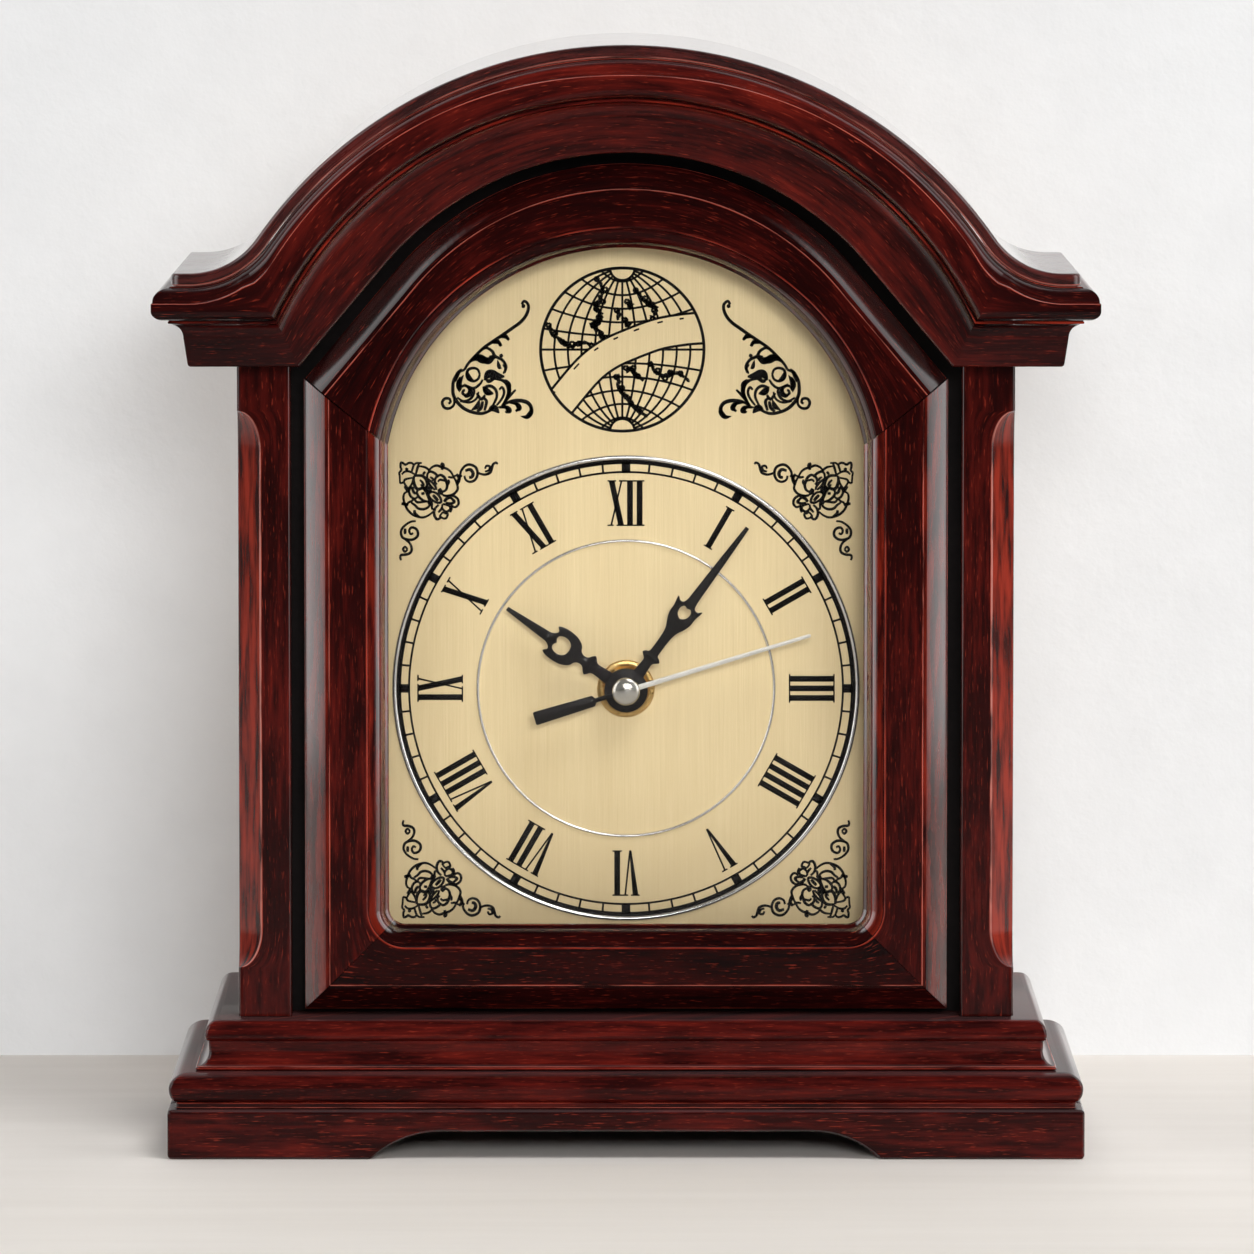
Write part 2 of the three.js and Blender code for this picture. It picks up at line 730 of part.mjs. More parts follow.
// The arched inside outline of the case, shared by the front board and the back panel.
function archedBoard(low) {
  const under = roofThickness + 2 * glueGap;
  const shape = new THREE.Shape();
  shape.moveTo(-innerHalf, low).lineTo(innerHalf, low);
  const steps = 14;
  for (let i = steps; i >= -steps; i--) {
    const x = innerHalf * Math.sin((Math.PI / 2) * (i / steps));
    shape.lineTo(x, roofHeight(x, under));
  }
  return shape;
}

function backScrewPlaces() {
  const x = innerHalf - cleatSize / 2;
  const low = caseFloor + screwLowMargin;
  const high = crownBottom - screwHighMargin;
  return [[-x, low], [x, low], [-x, high], [x, high]];
}

function screwHoles(places, y0, y1) {
  return places.map(([x, z]) => rod(screwRadius + glueGap, y0, y1, x, z, 10));
}

function screw(x, z, ySeat) {
  const head = ySeat + glueGap;
  return turned([
    [0, head - screwLength], [0.5, head - screwLength + 0.6], [screwRadius - 0.2, head - screwLength + 2.5],
    [screwRadius - 0.2, head], [screwHeadRadius, head], [screwHeadRadius, head + 0.5],
    [0.6 * screwHeadRadius, head + screwHeadHeight], [0, head + screwHeadHeight],
  ], x, z, 10);
}

function frontBoard() {
  const shape = archedBoard(caseFloor + glueGap);
  shape.holes.push(windowShape(glassRebate + 1));
  return plate(shape, yBoard, yBoard + frontBoardThickness);
}

function backPanel() {
  const shape = archedBoard(caseFloor + glueGap);
  const z0 = dialAxisHeight - accessHeight / 2;
  const half = accessWidth / 2;
  shape.holes.push(roundedRectangle(-half, half, z0, z0 + accessHeight, accessCorner));
  const y1 = yBack - backRecess;
  const panel = plate(shape, y1 - backThickness, y1);
  return cut(panel, ...screwHoles(backScrewPlaces(), y1 - backThickness - 1, y1 + 1));
}

function cleat(side) {
  const y1 = yBack - backRecess - backThickness - glueGap;
  const x0 = innerHalf - cleatSize;
  const z0 = caseFloor + glueGap;
  const z1 = crownBottom;
  const body = block(...(side > 0 ? [x0, innerHalf] : [-innerHalf, -x0]), y1 - cleatSize, y1, z0, z1);
  const own = backScrewPlaces().filter(([x]) => Math.sign(x) === side);
  return cut(body, ...screwHoles(own, y1 - screwLength, y1 + 1));
}

function caseBody() {
  const sideTop = roofHeight(caseHalf, roofThickness) - 2 * glueGap;
  const slope = roofHeight(caseHalf - sideThickness, roofThickness) - roofHeight(caseHalf, roofThickness);
  const y0 = yBoard;
  const z0 = caseFloor + glueGap;
  for (const [label, side] of [['left', -1], ['right', 1]]) {
    const x0 = caseHalf - sideThickness;
    const outline = [[x0, z0], [caseHalf, z0], [caseHalf, sideTop], [x0, sideTop + Math.max(slope - 1, 0)]];
    const rings = [y0, yBack].map((y) => outline.map(([x, z]) => [side * x, y, z]));
    const panel = loft(rings, outline.map(([x, z]) => new THREE.Vector2(side * x, z)));
    place(`side_panel_${label}`, panel, finish.lacquer);
    place(`stile_${label}`, stile(side), finish.lacquer);
    place(`back_cleat_${label}`, cleat(side), finish.board);
  }
  place('front_board', frontBoard(), finish.blackPaint);
  place('back_panel', backPanel(), finish.board);
  backScrewPlaces().forEach(([x, z], i) => {
    place(`back_screw_${i + 1}`, screw(x, z, yBack - backRecess), finish.brass);
  });
}

// Front frame: four mitred members with a bead, a flat face and an ovolo round the glass

// Section points have an edge, an inset from it and a depth behind the face of the case.
function frameSection() {
  const face = frameFaceSetback;
  const back = stileDepth - glueGap;
  const section = [{ edge: 'outer', inset: 0, depth: back }];
  section.push({ edge: 'outer', inset: 0, depth: face + beadDrop });
  for (let i = 1; i <= 4; i++) {
    const turn = (Math.PI / 2) * (i / 4);
    const inset = (frameBead - beadStep) * (1 - Math.cos(turn));
    section.push({ edge: 'outer', inset, depth: face + beadDrop - (beadDrop - beadStep) * Math.sin(turn) });
  }
  section.push({ edge: 'outer', inset: frameBead, depth: face });
  section.push({ edge: 'inner', inset: frameOvolo, depth: face });
  for (let i = 0; i <= 4; i++) {
    const turn = (Math.PI / 2) * (i / 4);
    const inset = frameOvolo - 2 * glueGap - (frameOvolo - 2 * glueGap - ovoloFillet) * Math.sin(turn);
    const depth = face + ovoloStep + (ovoloDrop - ovoloStep) * (1 - Math.cos(turn));
    section.push({ edge: 'inner', inset, depth });
  }
  section.push({ edge: 'inner', inset: 0, depth: face + ovoloDrop + ovoloFillet });
  section.push({ edge: 'inner', inset: 0, depth: glassSetback });
  section.push({ edge: 'inner', inset: glassRebate, depth: glassSetback });
  section.push({ edge: 'inner', inset: glassRebate, depth: back });
  return section;
}

// A member from stations that each give an outer and an inner point and the stretch of insets along the mitre.
function frameMember(stations, section) {
  const rings = stations.map(({ outer, inner, outerStretch, innerStretch }) => {
    const dx = inner[0] - outer[0];
    const dz = inner[1] - outer[1];
    const length = Math.hypot(dx, dz);
    return section.map(({ edge, inset, depth }) => {
      const along = edge === 'outer' ? (inset * outerStretch) / length : 1 - (inset * innerStretch) / length;
      return [outer[0] + dx * along, yFront + depth, outer[1] + dz * along];
    });
  });
  const across = ({ edge, inset }) => (edge === 'outer' ? inset : frameWidth - inset);
  return loft(rings, section.map((point) => new THREE.Vector2(across(point), point.depth)));
}

// Where the straight haunch of the frame's outer edge meets its upright side.
function frameShoulder() {
  const limit = rad(haunchAngle);
  const [tx, tz] = archPoint(frameApex, frameArcRadius, limit);
  const x = frameHalf - shoulderInset;
  return [x, tz - (x - tx) * Math.tan(limit)];
}

// Lower corner fan: rays from the centre of the rounded inner corner to the straight outer edge.
function cornerFan(steps) {
  const fan = [];
  const reach = frameWidth + openingCorner;
  for (let i = 0; i <= steps; i++) {
    const turn = (Math.PI / 4) * (1 - i / steps);
    fan.push({ turn, out: reach, slide: reach * Math.tan(turn) });
  }
  return fan;
}

function uprightMember(side) {
  const sz = frameShoulder()[1];
  const cx = openingHalf - openingCorner;
  const cz = openingBottom + openingCorner;
  const nudge = glueGap / 2;
  const stations = cornerFan(4).map(({ turn, out, slide }) => ({
    outer: [side * (cx + out), cz - slide + nudge],
    inner: [side * (cx + openingCorner * Math.cos(turn)), cz - openingCorner * Math.sin(turn) + nudge],
    outerStretch: 1 / Math.cos(turn),
    innerStretch: 1,
  }));
  const rise = sz - openingSpring;
  const mitre = Math.hypot(rise, frameWidth) / frameWidth;
  stations.push({
    outer: [side * frameHalf, sz - nudge],
    inner: [side * openingHalf, openingSpring - nudge],
    outerStretch: mitre,
    innerStretch: mitre,
  });
  return stations;
}

function bottomMember() {
  const cx = openingHalf - openingCorner;
  const cz = openingBottom + openingCorner;
  const nudge = glueGap / 2;
  const half = cornerFan(4).map(({ turn, out, slide }) => ({
    outer: [cx + slide - nudge, cz - out],
    inner: [cx + openingCorner * Math.sin(turn) - nudge, cz - openingCorner * Math.cos(turn)],
    outerStretch: 1 / Math.cos(turn),
    innerStretch: 1,
  }));
  const flip = (s) => ({ ...s, outer: [-s.outer[0], s.outer[1]], inner: [-s.inner[0], s.inner[1]] });
  return [...half.map(flip), ...half.slice().reverse()];
}

function archMember() {
  const sz = frameShoulder()[1];
  const nudge = glueGap / 2;
  const innerEnd = Math.acos((openingSpring + nudge - openingArcCentre) / openingRadius);
  const limit = rad(haunchAngle);
  const half = [];
  const steps = 12;
  for (let i = 0; i <= steps; i++) {
    const share = i / steps;
    const outer = haunchedArch(frameApex, frameArcRadius, sz + nudge, share);
    const turn = share * innerEnd;
    const inner = [openingRadius * Math.sin(turn), openingArcCentre + openingRadius * Math.cos(turn)];
    const length = Math.hypot(inner[0] - outer[0], inner[1] - outer[1]);
    const outerTurn = Math.min(Math.asin(Math.min(outer[0] / frameArcRadius, 1)), limit);
    const toOuter = [Math.sin(outerTurn), Math.cos(outerTurn)];
    const toInner = [Math.sin(turn), Math.cos(turn)];
    const lean = (way) => ((outer[0] - inner[0]) * way[0] + (outer[1] - inner[1]) * way[1]) / length;
    half.push({ outer, inner, outerStretch: 1 / lean(toOuter), innerStretch: 1 / lean(toInner) });
  }
  const flip = (s) => ({ ...s, outer: [-s.outer[0], s.outer[1]], inner: [-s.inner[0], s.inner[1]] });
  return [...half.slice(1).reverse().map(flip), ...half];
}

function frontFrame() {
  const section = frameSection();
  place('frame_left', frameMember(uprightMember(-1), section), finish.lacquer);
  place('frame_right', frameMember(uprightMember(1), section), finish.lacquer);
  place('frame_bottom', frameMember(bottomMember(), section), finish.lacquer);
  place('frame_arch', frameMember(archMember(), section), finish.lacquer);
  const near = yFront + glassSetback + glueGap;
  place('glass_pane', plate(windowShape(glassRebate - 0.3), near, near + glassThickness, 9), finish.glass);
}

// Dial

function dial() {
  const plateShape = windowShape(dialMargin);
  const bore = stemRadius + runGap;
  const hole = new THREE.Path().absarc(0, dialAxisHeight, bore, 0, 2 * Math.PI);
  plateShape.holes.push(hole);
  place('dial_plate', plate(plateShape, yDial, yDial + dialThickness, 9), finish.gilt);
  const boardShape = windowShape(dialBoardMargin);
  boardShape.holes.push(hole);
  place('dial_board', plate(boardShape, yDialBoard, yDialBoard + dialBoardThickness, 9), finish.board);
  for (const [name, radius] of [['dial_outer_ring', outerRingRadius], ['dial_inner_ring', innerRingRadius]]) {
    const seat = yDial - glueGap;
    const half = ringWidth / 2;
    const bead = [
      [radius - half, seat], [radius - 0.6 * half, seat - 0.8 * ringHeight], [radius, seat - ringHeight],
      [radius + 0.6 * half, seat - 0.8 * ringHeight], [radius + half, seat], [radius - half, seat],
    ];
    place(name, turned(bead, 0, dialAxisHeight, 40), finish.polished);
  }
}

// Gears

const pinionTooth = [[0, -0.26], [1, -0.1], [1, 0.1], [0, 0.26]]; // height share and pitch share
const wheelTooth = [[0, -0.32], [1, 0], [0, 0.32]];
const coarseTeeth = 20;

// Straight-flanked teeth, thin enough to run with backlash; the phase is the direction of the first tooth.
// A wheel with fine teeth has pointed ones.
function gearShape(teeth, module, phase) {
  const pitch = (2 * Math.PI) / teeth;
  const radius = (teeth * module) / 2;
  const tip = radius + addendum * module;
  const root = radius - dedendum * module;
  const tooth = teeth > coarseTeeth ? wheelTooth : pinionTooth;
  const shape = new THREE.Shape();
  for (let k = 0; k < teeth; k++) {
    const centre = phase + k * pitch;
    tooth.forEach(([height, share], i) => {
      const r = root + (tip - root) * height;
      const angle = centre + share * pitch;
      const x = r * Math.cos(angle);
      const z = r * Math.sin(angle);
      if (k === 0 && i === 0) {
        shape.moveTo(x, z);
      } else {
        shape.lineTo(x, z);
      }
    });
  }
  return shape;
}

// Phase of a gear that meshes with a driver lying in the given direction from it.
function meshPhase(direction, driverPhase, driverTeeth, teeth) {
  const driverShare = ((direction - driverPhase) * driverTeeth) / (2 * Math.PI);
  return direction + Math.PI - ((2 * Math.PI) / teeth) * (0.5 - driverShare);
}

function gear(teeth, module, phase, x, z, depth, thickness = wheelThickness) {
  const near = yMovement + depth;
  return plate(gearShape(teeth, module, phase), near, near + thickness).translate(x, 0, z);
}

const layer = (n) => firstLayer + n * layerPitch;
const teeth = {
  hour: 32, motionPinion: 8, minutePinion: 8, motion: 24, centre: 48, thirdPinion: 6,
  third: 45, secondPinion: 6, second: 40, transferPinion: 8, transfer: 48, rotorPinion: 8,
};

function polar(distance, degrees, from = [0, dialAxisHeight]) {
  return [from[0] + distance * Math.cos(rad(degrees)), from[1] + distance * Math.sin(rad(degrees))];
}

const motionDistance = motionShare * movementSize;
const thirdDistance = thirdShare * movementSize;
const transferDistance = transferShare * movementSize;
const rotorDistance = rotorShare * movementSize;
const motionAxis = polar(motionDistance, motionAngle);
const thirdAxis = polar(thirdDistance, thirdAngle);
const transferAxis = polar(transferDistance, transferAngle);
const rotorAxis = polar(rotorDistance, rotorAngle, transferAxis);
const hourModule = (2 * motionDistance) / (teeth.hour + teeth.motionPinion);
const motionModule = (2 * motionDistance) / (teeth.minutePinion + teeth.motion);
const centreModule = (2 * thirdDistance) / (teeth.centre + teeth.thirdPinion);
const thirdModule = (2 * thirdDistance) / (teeth.third + teeth.secondPinion);
const secondModule = (2 * transferDistance) / (teeth.second + teeth.transferPinion);
const transferModule = (2 * rotorDistance) / (teeth.transfer + teeth.rotorPinion);
const floorDepth = movementWall;
const coverDepth = movementDepth - movementWall;
const pivotFront = yMovement + floorDepth - pivotDepth + runGap;
const pivotRear = yMovement + coverDepth + pivotDepth - runGap;

function motionWork() {
  const z = dialAxisHeight;
  const [mx, mz] = motionAxis;
  const hourPhase = meshPhase(rad(motionAngle) + Math.PI, 0, teeth.motionPinion, teeth.hour);
  const hourNear = yDial - hourHandLift - handThickness - pressGap;
  const hourGear = gear(teeth.hour, hourModule, hourPhase, 0, z, layer(0));
  const hourTube = rod(hourTubeRadius, hourNear, yMovement + layer(0) + wheelThickness, 0, z);
  const hourBore = rod(minuteTubeRadius + runGap + 0.05, hourNear - 1, yMovement + layer(1), 0, z);
  place('hour_wheel', cut(join(hourGear, hourTube), hourBore), finish.nylon);

  const motionPhase = meshPhase(rad(motionAngle), 0, teeth.minutePinion, teeth.motion);
  const motionGear = gear(teeth.motion, motionModule, motionPhase, mx, mz, layer(1));
  const motionPinion = gear(teeth.motionPinion, hourModule, 0, mx, mz, layer(0), layerPitch);
  const knobSeat = yMovement + movementDepth + knobClearance;
  const arbor = rod(setArborRadius, pivotFront, knobSeat + 0.75 * knobThickness, mx, mz, 16);
  place('setting_arbor', join(motionGear, motionPinion, arbor), finish.nylon);
  const knobShape = gearShape(16, (2 * knobRadius) / 17.4, 0);
  const arborEnd = knobSeat + 0.75 * knobThickness;
  const knobHole = rod(setArborRadius + pressGap, knobSeat - 1, arborEnd + pressGap, mx, mz, 16);
  const knob = plate(knobShape, knobSeat, knobSeat + knobThickness).translate(mx, 0, mz);
  place('setting_knob', cut(knob, knobHole), finish.nylon);

  const minuteNear = yDial - minuteHandLift - handThickness - pressGap;
  const centreWheel = gear(teeth.centre, centreModule, 0, 0, z, layer(2));
  const minutePinion = gear(teeth.minutePinion, motionModule, 0, 0, z, layer(1), layerPitch);
  const minuteTube = rod(minuteTubeRadius, minuteNear, yMovement + layer(2) + wheelThickness, 0, z);
  const minuteBore = rod(secondArborRadius + runGap, minuteNear - 1, yMovement + layer(3), 0, z, 16);
  place('centre_wheel', cut(join(centreWheel, minutePinion, minuteTube), minuteBore), finish.nylon);
}

function goingTrain() {
  const z = dialAxisHeight;
  const [tx, tz] = thirdAxis;
  const thirdPinionPhase = meshPhase(rad(thirdAngle), 0, teeth.centre, teeth.thirdPinion);
  const thirdWheel = gear(teeth.third, thirdModule, 0, tx, tz, layer(3));
  const thirdPinion = gear(teeth.thirdPinion, centreModule, thirdPinionPhase, tx, tz, layer(2), layerPitch);
  const thirdArbor = rod(pivotRadius, pivotFront, pivotRear, tx, tz, 12);
  place('third_wheel', join(thirdWheel, thirdPinion, thirdArbor), finish.nylon);

  const secondPinionPhase = meshPhase(rad(thirdAngle) + Math.PI, 0, teeth.third, teeth.secondPinion);
  const secondNear = yDial - secondHandLift - handThickness - pressGap;
  const secondWheel = gear(teeth.second, secondModule, 0, 0, z, layer(4));
  const secondPinion = gear(teeth.secondPinion, thirdModule, secondPinionPhase, 0, z, layer(3), layerPitch);
  const secondArbor = rod(secondArborRadius, secondNear, pivotRear, 0, z, 16);
  place('second_wheel', join(secondWheel, secondPinion, secondArbor), finish.nylon);

  const [fx, fz] = transferAxis;
  const pinionPhase = meshPhase(rad(transferAngle), 0, teeth.second, teeth.transferPinion);
  const transferWheel = gear(teeth.transfer, transferModule, 0, fx, fz, layer(5));
    const transferPinion = gear(teeth.transferPinion, secondModule, pinionPhase, fx, fz, layer(4), layerPitch);
  const transferArbor = rod(pivotRadius, pivotFront, pivotRear, fx, fz, 12);
  place('transfer_wheel', join(transferWheel, transferPinion, transferArbor), finish.nylon);

  const [rx, rz] = rotorAxis;
  const rotorPhase = meshPhase(rad(rotorAngle), 0, teeth.transfer, teeth.rotorPinion);
  const magnetNear = yMovement + layer(6) - magnetGap;
  const rotorPinion = gear(teeth.rotorPinion, transferModule, rotorPhase, rx, rz, layer(5), layerPitch);
  const magnet = rod(magnetRadius, magnetNear, magnetNear + magnetThickness, rx, rz, 16);
  place('rotor', join(rotorPinion, magnet, rod(pivotRadius, pivotFront, pivotRear, rx, rz, 12)), finish.steel);
}

// Motor, board and cell

const statorDepth = layer(6);
const coilMiddle = [
  rotorAxis[0] + coilOffsetShare * movementSize, movementSize / 2 - coilDropShare * movementSize,
]; // from the hand axis, in X and Z
const coilLength = coilShare * movementSize;
const statorLeg = statorLegShare * movementSize;
const statorMargin = statorShare * movementSize;
const coilSize = 5.6;
const coreWidth = 3;
const circuitLeft = -movementSize / 2 + circuitMargin + pivotRadius;
const circuitTop = movementSize / 2 - circuitMargin;
const circuitPlace = [circuitLeft, circuitLeft + circuitLength, circuitTop - circuitWidth, circuitTop];
const circuitDepth = 10.4;

function motor() {
  const z = dialAxisHeight;
  const [rx, rz] = rotorAxis;
  const [cx, cz] = coilMiddle;
  const legIn = coilLength / 2 + magnetGap;
  const legOut = legIn + statorLeg;
  const low = rz - z - statorMargin;
  const high = cz + coreWidth / 2 + 0.5;
  const yoke = cz - coilSize / 2 - 1.8;
  const shape = new THREE.Shape();
  shape.moveTo(cx - legOut, low).lineTo(cx + legOut, low).lineTo(cx + legOut, high);
  shape.lineTo(cx + legIn, high).lineTo(cx + legIn, yoke).lineTo(cx - legIn, yoke);
  shape.lineTo(cx - legIn, high).lineTo(cx - legOut, high);
  shape.holes.push(new THREE.Path().absarc(rx, rz - z, magnetRadius + magnetGap, 0, 2 * Math.PI));
  const near = yMovement + statorDepth;
  place('stator', plate(shape, near, near + statorThickness, 8).translate(0, 0, z), finish.steel);
  const coreNear = near + statorThickness + glueGap;
  const coreHalf = coreWidth / 2;
  const coreFar = coreNear + statorThickness;
  const core = block(cx - legOut, cx + legOut, coreNear, coreFar, z + cz - coreHalf, z + cz + coreHalf);
  place('coil_core', core, finish.steel);
  const half = coilLength / 2;
  const middle = coreNear + statorThickness / 2;
  const rear = Math.min(middle + coilSize / 2, yMovement + coverDepth - glueGap);
  const coilHalf = coilSize / 2;
  const bobbin = block(cx - half, cx + half, middle - coilHalf, rear, z + cz - coilHalf, z + cz + coilHalf);
  const slot = block(
    cx - half - 1, cx + half + 1, coreNear - glueGap, coreNear + statorThickness + glueGap,
    z + cz - coreHalf - glueGap, z + cz + coreHalf + glueGap,
  );
  place('drive_coil', cut(bobbin, slot), finish.copper);
  const [x0, x1, z0, z1] = circuitPlace;
  const boardNear = yMovement + circuitDepth;
  place('circuit_board', block(x0, x1, boardNear, boardNear + 1, z + z0, z + z1), finish.circuit);
}

const bayHalf = cellLength / 2 + contactThickness + 3 * glueGap;
const bayTop = -movementSize / 2 + bayFloor + 2 * cellRadius + 2 * glueGap;
const cellZ = dialAxisHeight - movementSize / 2 + bayFloor + glueGap + cellRadius;
const cellY = yMovement + movementDepth - cellRadius - glueGap;

function cell() {
  const half = cellLength / 2;
  const points = [[0, -half], [cellRadius, -half], [cellRadius, half - cellNubLength]];
  points.push([cellNubRadius, half - cellNubLength], [cellNubRadius, half], [0, half]);
  const profile = points.map(([r, along]) => new THREE.Vector2(r, along));
  const body = new THREE.LatheGeometry(profile, 20).rotateZ(-Math.PI / 2).translate(0, cellY, cellZ);
  place('cell', outward(body), finish.cell);
  for (const [name, side, width] of [['contact_minus', -1, 9], ['contact_plus', 1, 6]]) {
    const inner = side * (cellLength / 2 + glueGap);
    const outer = inner + side * contactThickness;
    const x0 = Math.min(inner, outer);
    const x1 = Math.max(inner, outer);
    const half = width / 2;
    place(name, block(x0, x1, cellY - half, cellY + half, cellZ - half, cellZ + half), finish.steel);
  }
}

// Housing

function housingPosts() {
  const z = dialAxisHeight;
  const floor = yMovement + floorDepth;
  const [cx, cz] = coilMiddle;
  const leg = coilLength / 2 + magnetGap + statorLeg / 2;
  const [x0, x1, z0, z1] = circuitPlace;
  const statorSeat = yMovement + statorDepth - glueGap;
  const boardSeat = yMovement + circuitDepth - glueGap;
  const boardMiddle = z + (z0 + z1) / 2;
  const post = (x, zz, seat) => rod(postRadius, floor - pivotDepth, seat, x, zz, 8);
  return [
    post(cx - leg, z + cz, statorSeat), post(cx + leg, z + cz, statorSeat),
    post(cx + leg, rotorAxis[1] - 0.6 * statorMargin, statorSeat),
    post(x0 + 3, boardMiddle, boardSeat), post(x1 - 3, boardMiddle, boardSeat),
  ];
}

function pivotHoles(y0, y1) {
  const hole = (axis, radius) => rod(radius + runGap, y0, y1, axis[0], axis[1], 16);
  return [hole(thirdAxis, pivotRadius), hole(transferAxis, pivotRadius), hole(rotorAxis, pivotRadius)];
}

function movementHousing() {
  const z = dialAxisHeight;
  const half = movementSize / 2;
  const y0 = yMovement;
  const y1 = yMovement + movementDepth;
  const inner = half - movementWall;
  const trainLow = bayTop + movementWall;
  const body = plate(roundedRectangle(-half, half, z - half, z + half, 4), y0, y1, 4);
  const trainSpace = block(-inner, inner, y0 + floorDepth, y1 + 1, z + trainLow, z + inner);
  const bayFront = cellY - cellRadius - glueGap;
  const cellSpace = block(-bayHalf, bayHalf, bayFront, y1 + 1, z - half + bayFloor, z + bayTop);
  const stemNear = yDial - stemReach;
  const stem = rod(stemRadius, stemNear, y0 + 0.5, 0, z, 24);
  const bore = rod(stemBore, stemNear - 1, y0 + floorDepth + 1, 0, z, 24);
  const frontPivots = pivotHoles(pivotFront - runGap, y0 + floorDepth + 1);
  const setPivot = rod(setArborRadius + runGap, pivotFront - runGap, y0 + floorDepth + 1, ...motionAxis, 16);
  const shell = cut(join(body, stem), trainSpace, cellSpace);
  const housing = cut(join(shell, ...housingPosts()), bore, ...frontPivots, setPivot);
  place('movement_housing', housing, finish.housing);

  const coverShape = block(
    -inner + glueGap, inner - glueGap, y0 + coverDepth, y1, z + trainLow + glueGap, z + inner - glueGap,
  );
  const rearPivots = pivotHoles(y0 + coverDepth - 1, pivotRear + runGap);
  const arborPivot = rod(secondArborRadius + runGap, y0 + coverDepth - 1, pivotRear + runGap, 0, z, 16);
  const knobPivot = rod(setArborRadius + runGap, y0 + coverDepth - 1, y1 + 1, ...motionAxis, 16);
  place('movement_cover', cut(coverShape, ...rearPivots, arborPivot, knobPivot), finish.housing);
}

function fixings() {
  const z = dialAxisHeight;
  const gasketNear = yDialBoard + dialBoardThickness + glueGap;
  const bore = stemRadius + runGap;
  const gasketFar = gasketNear + gasketThickness - glueGap;
  place('gasket', tube(gasketRadius, bore, gasketNear, gasketFar, 0, z, 24), finish.rubber);
  const seat = yDial - glueGap;
  const rim = washerRadius - 0.7;
  const washer = [
    [bore, seat], [bore, seat - washerThickness], [rim - 0.2, seat - washerThickness], [rim, seat - washerRim],
    [washerRadius - 0.2, seat - washerRim], [washerRadius, seat - washerThickness],
    [washerRadius, seat], [bore, seat],
  ];
  place('brass_washer', turned(washer, 0, z, 24), finish.brass);
  const nutSeat = seat - washerThickness - glueGap;
  const hexagon = new THREE.Shape();
  for (let i = 0; i < 6; i++) {
    const angle = (Math.PI / 3) * i;
    const point = [nutRadius * Math.cos(angle), nutRadius * Math.sin(angle)];
    if (i === 0) {
      hexagon.moveTo(...point);
    } else {
      hexagon.lineTo(...point);
    }
  }
  hexagon.holes.push(new THREE.Path().absarc(0, 0, bore, 0, 2 * Math.PI));
  place('hex_nut', plate(hexagon, nutSeat - nutThickness, nutSeat, 12).translate(0, 0, z), finish.brass);
}

// Hands, drawn pointing up from their axis and then turned clockwise

// A pierced blade: hub, collar knob, shield with two horns round an eye, and a tapering point.
function bladeShape({ length, collar, shield, shieldLength, shieldHalf, eyeRadius, bore }) {
  const top = shield + shieldLength;
  const side = [
    [handBar, 0.8 * collar], [handBar, 0.92 * collar], [handCollar, 0.98 * collar], [handCollar, 1.07 * collar],
    [handBar, 1.13 * collar], [0.8 * handBar, shield], [0.72 * shieldHalf, shield + 0.17 * shieldLength],
    [0.8 * shieldHalf, top - 0.33 * shieldLength], [shieldHalf, top],
    [0.5 * shieldHalf, top - 0.06 * shieldLength],
    [0.7 * handBar, top + 0.08 * shieldLength], [handPoint, length - handPoint],
  ];
  const start = Math.acos(handBar / handHubRadius);
  const shape = new THREE.Shape();
  shape.absarc(0, 0, handHubRadius, Math.PI - start, 2 * Math.PI + start);
  side.forEach(([x, z]) => shape.lineTo(x, z));
  shape.lineTo(0, length);
  side.slice().reverse().forEach(([x, z]) => shape.lineTo(-x, z));
  shape.holes.push(new THREE.Path().absarc(0, 0, bore, 0, 2 * Math.PI));
  shape.holes.push(new THREE.Path().absarc(0, shield + 0.57 * shieldLength, eyeRadius, 0, 2 * Math.PI));
  return shape;
}

function secondHandShape() {
  const length = secondHandShare * outerRingRadius;
  const tail = secondTailShare * outerRingRadius;
  const start = Math.acos(secondNeck / secondHubRadius);
  const shape = new THREE.Shape();
  shape.absarc(0, 0, secondHubRadius, -start, start);
  shape.lineTo(secondPoint, length - secondPoint).lineTo(0, length).lineTo(-secondPoint, length - secondPoint);
  shape.absarc(0, 0, secondHubRadius, Math.PI - start, Math.PI + start);
  shape.lineTo(-secondNeck, -tailReach).lineTo(-tailHalf, -tailReach - secondNeck).lineTo(-tailHalf, -tail);
  shape.lineTo(tailHalf, -tail).lineTo(tailHalf, -tailReach - secondNeck).lineTo(secondNeck, -tailReach);
  shape.holes.push(new THREE.Path().absarc(0, 0, secondArborRadius + pressGap, 0, 2 * Math.PI));
  return shape;
}

function hand(name, shape, lift, turn, material) {
  const far = yDial - lift;
  const blade = plate(shape, far - handThickness, far, 10);
  blade.rotateY(rad(turn)).translate(0, 0, dialAxisHeight);
  place(name, blade, material);
}

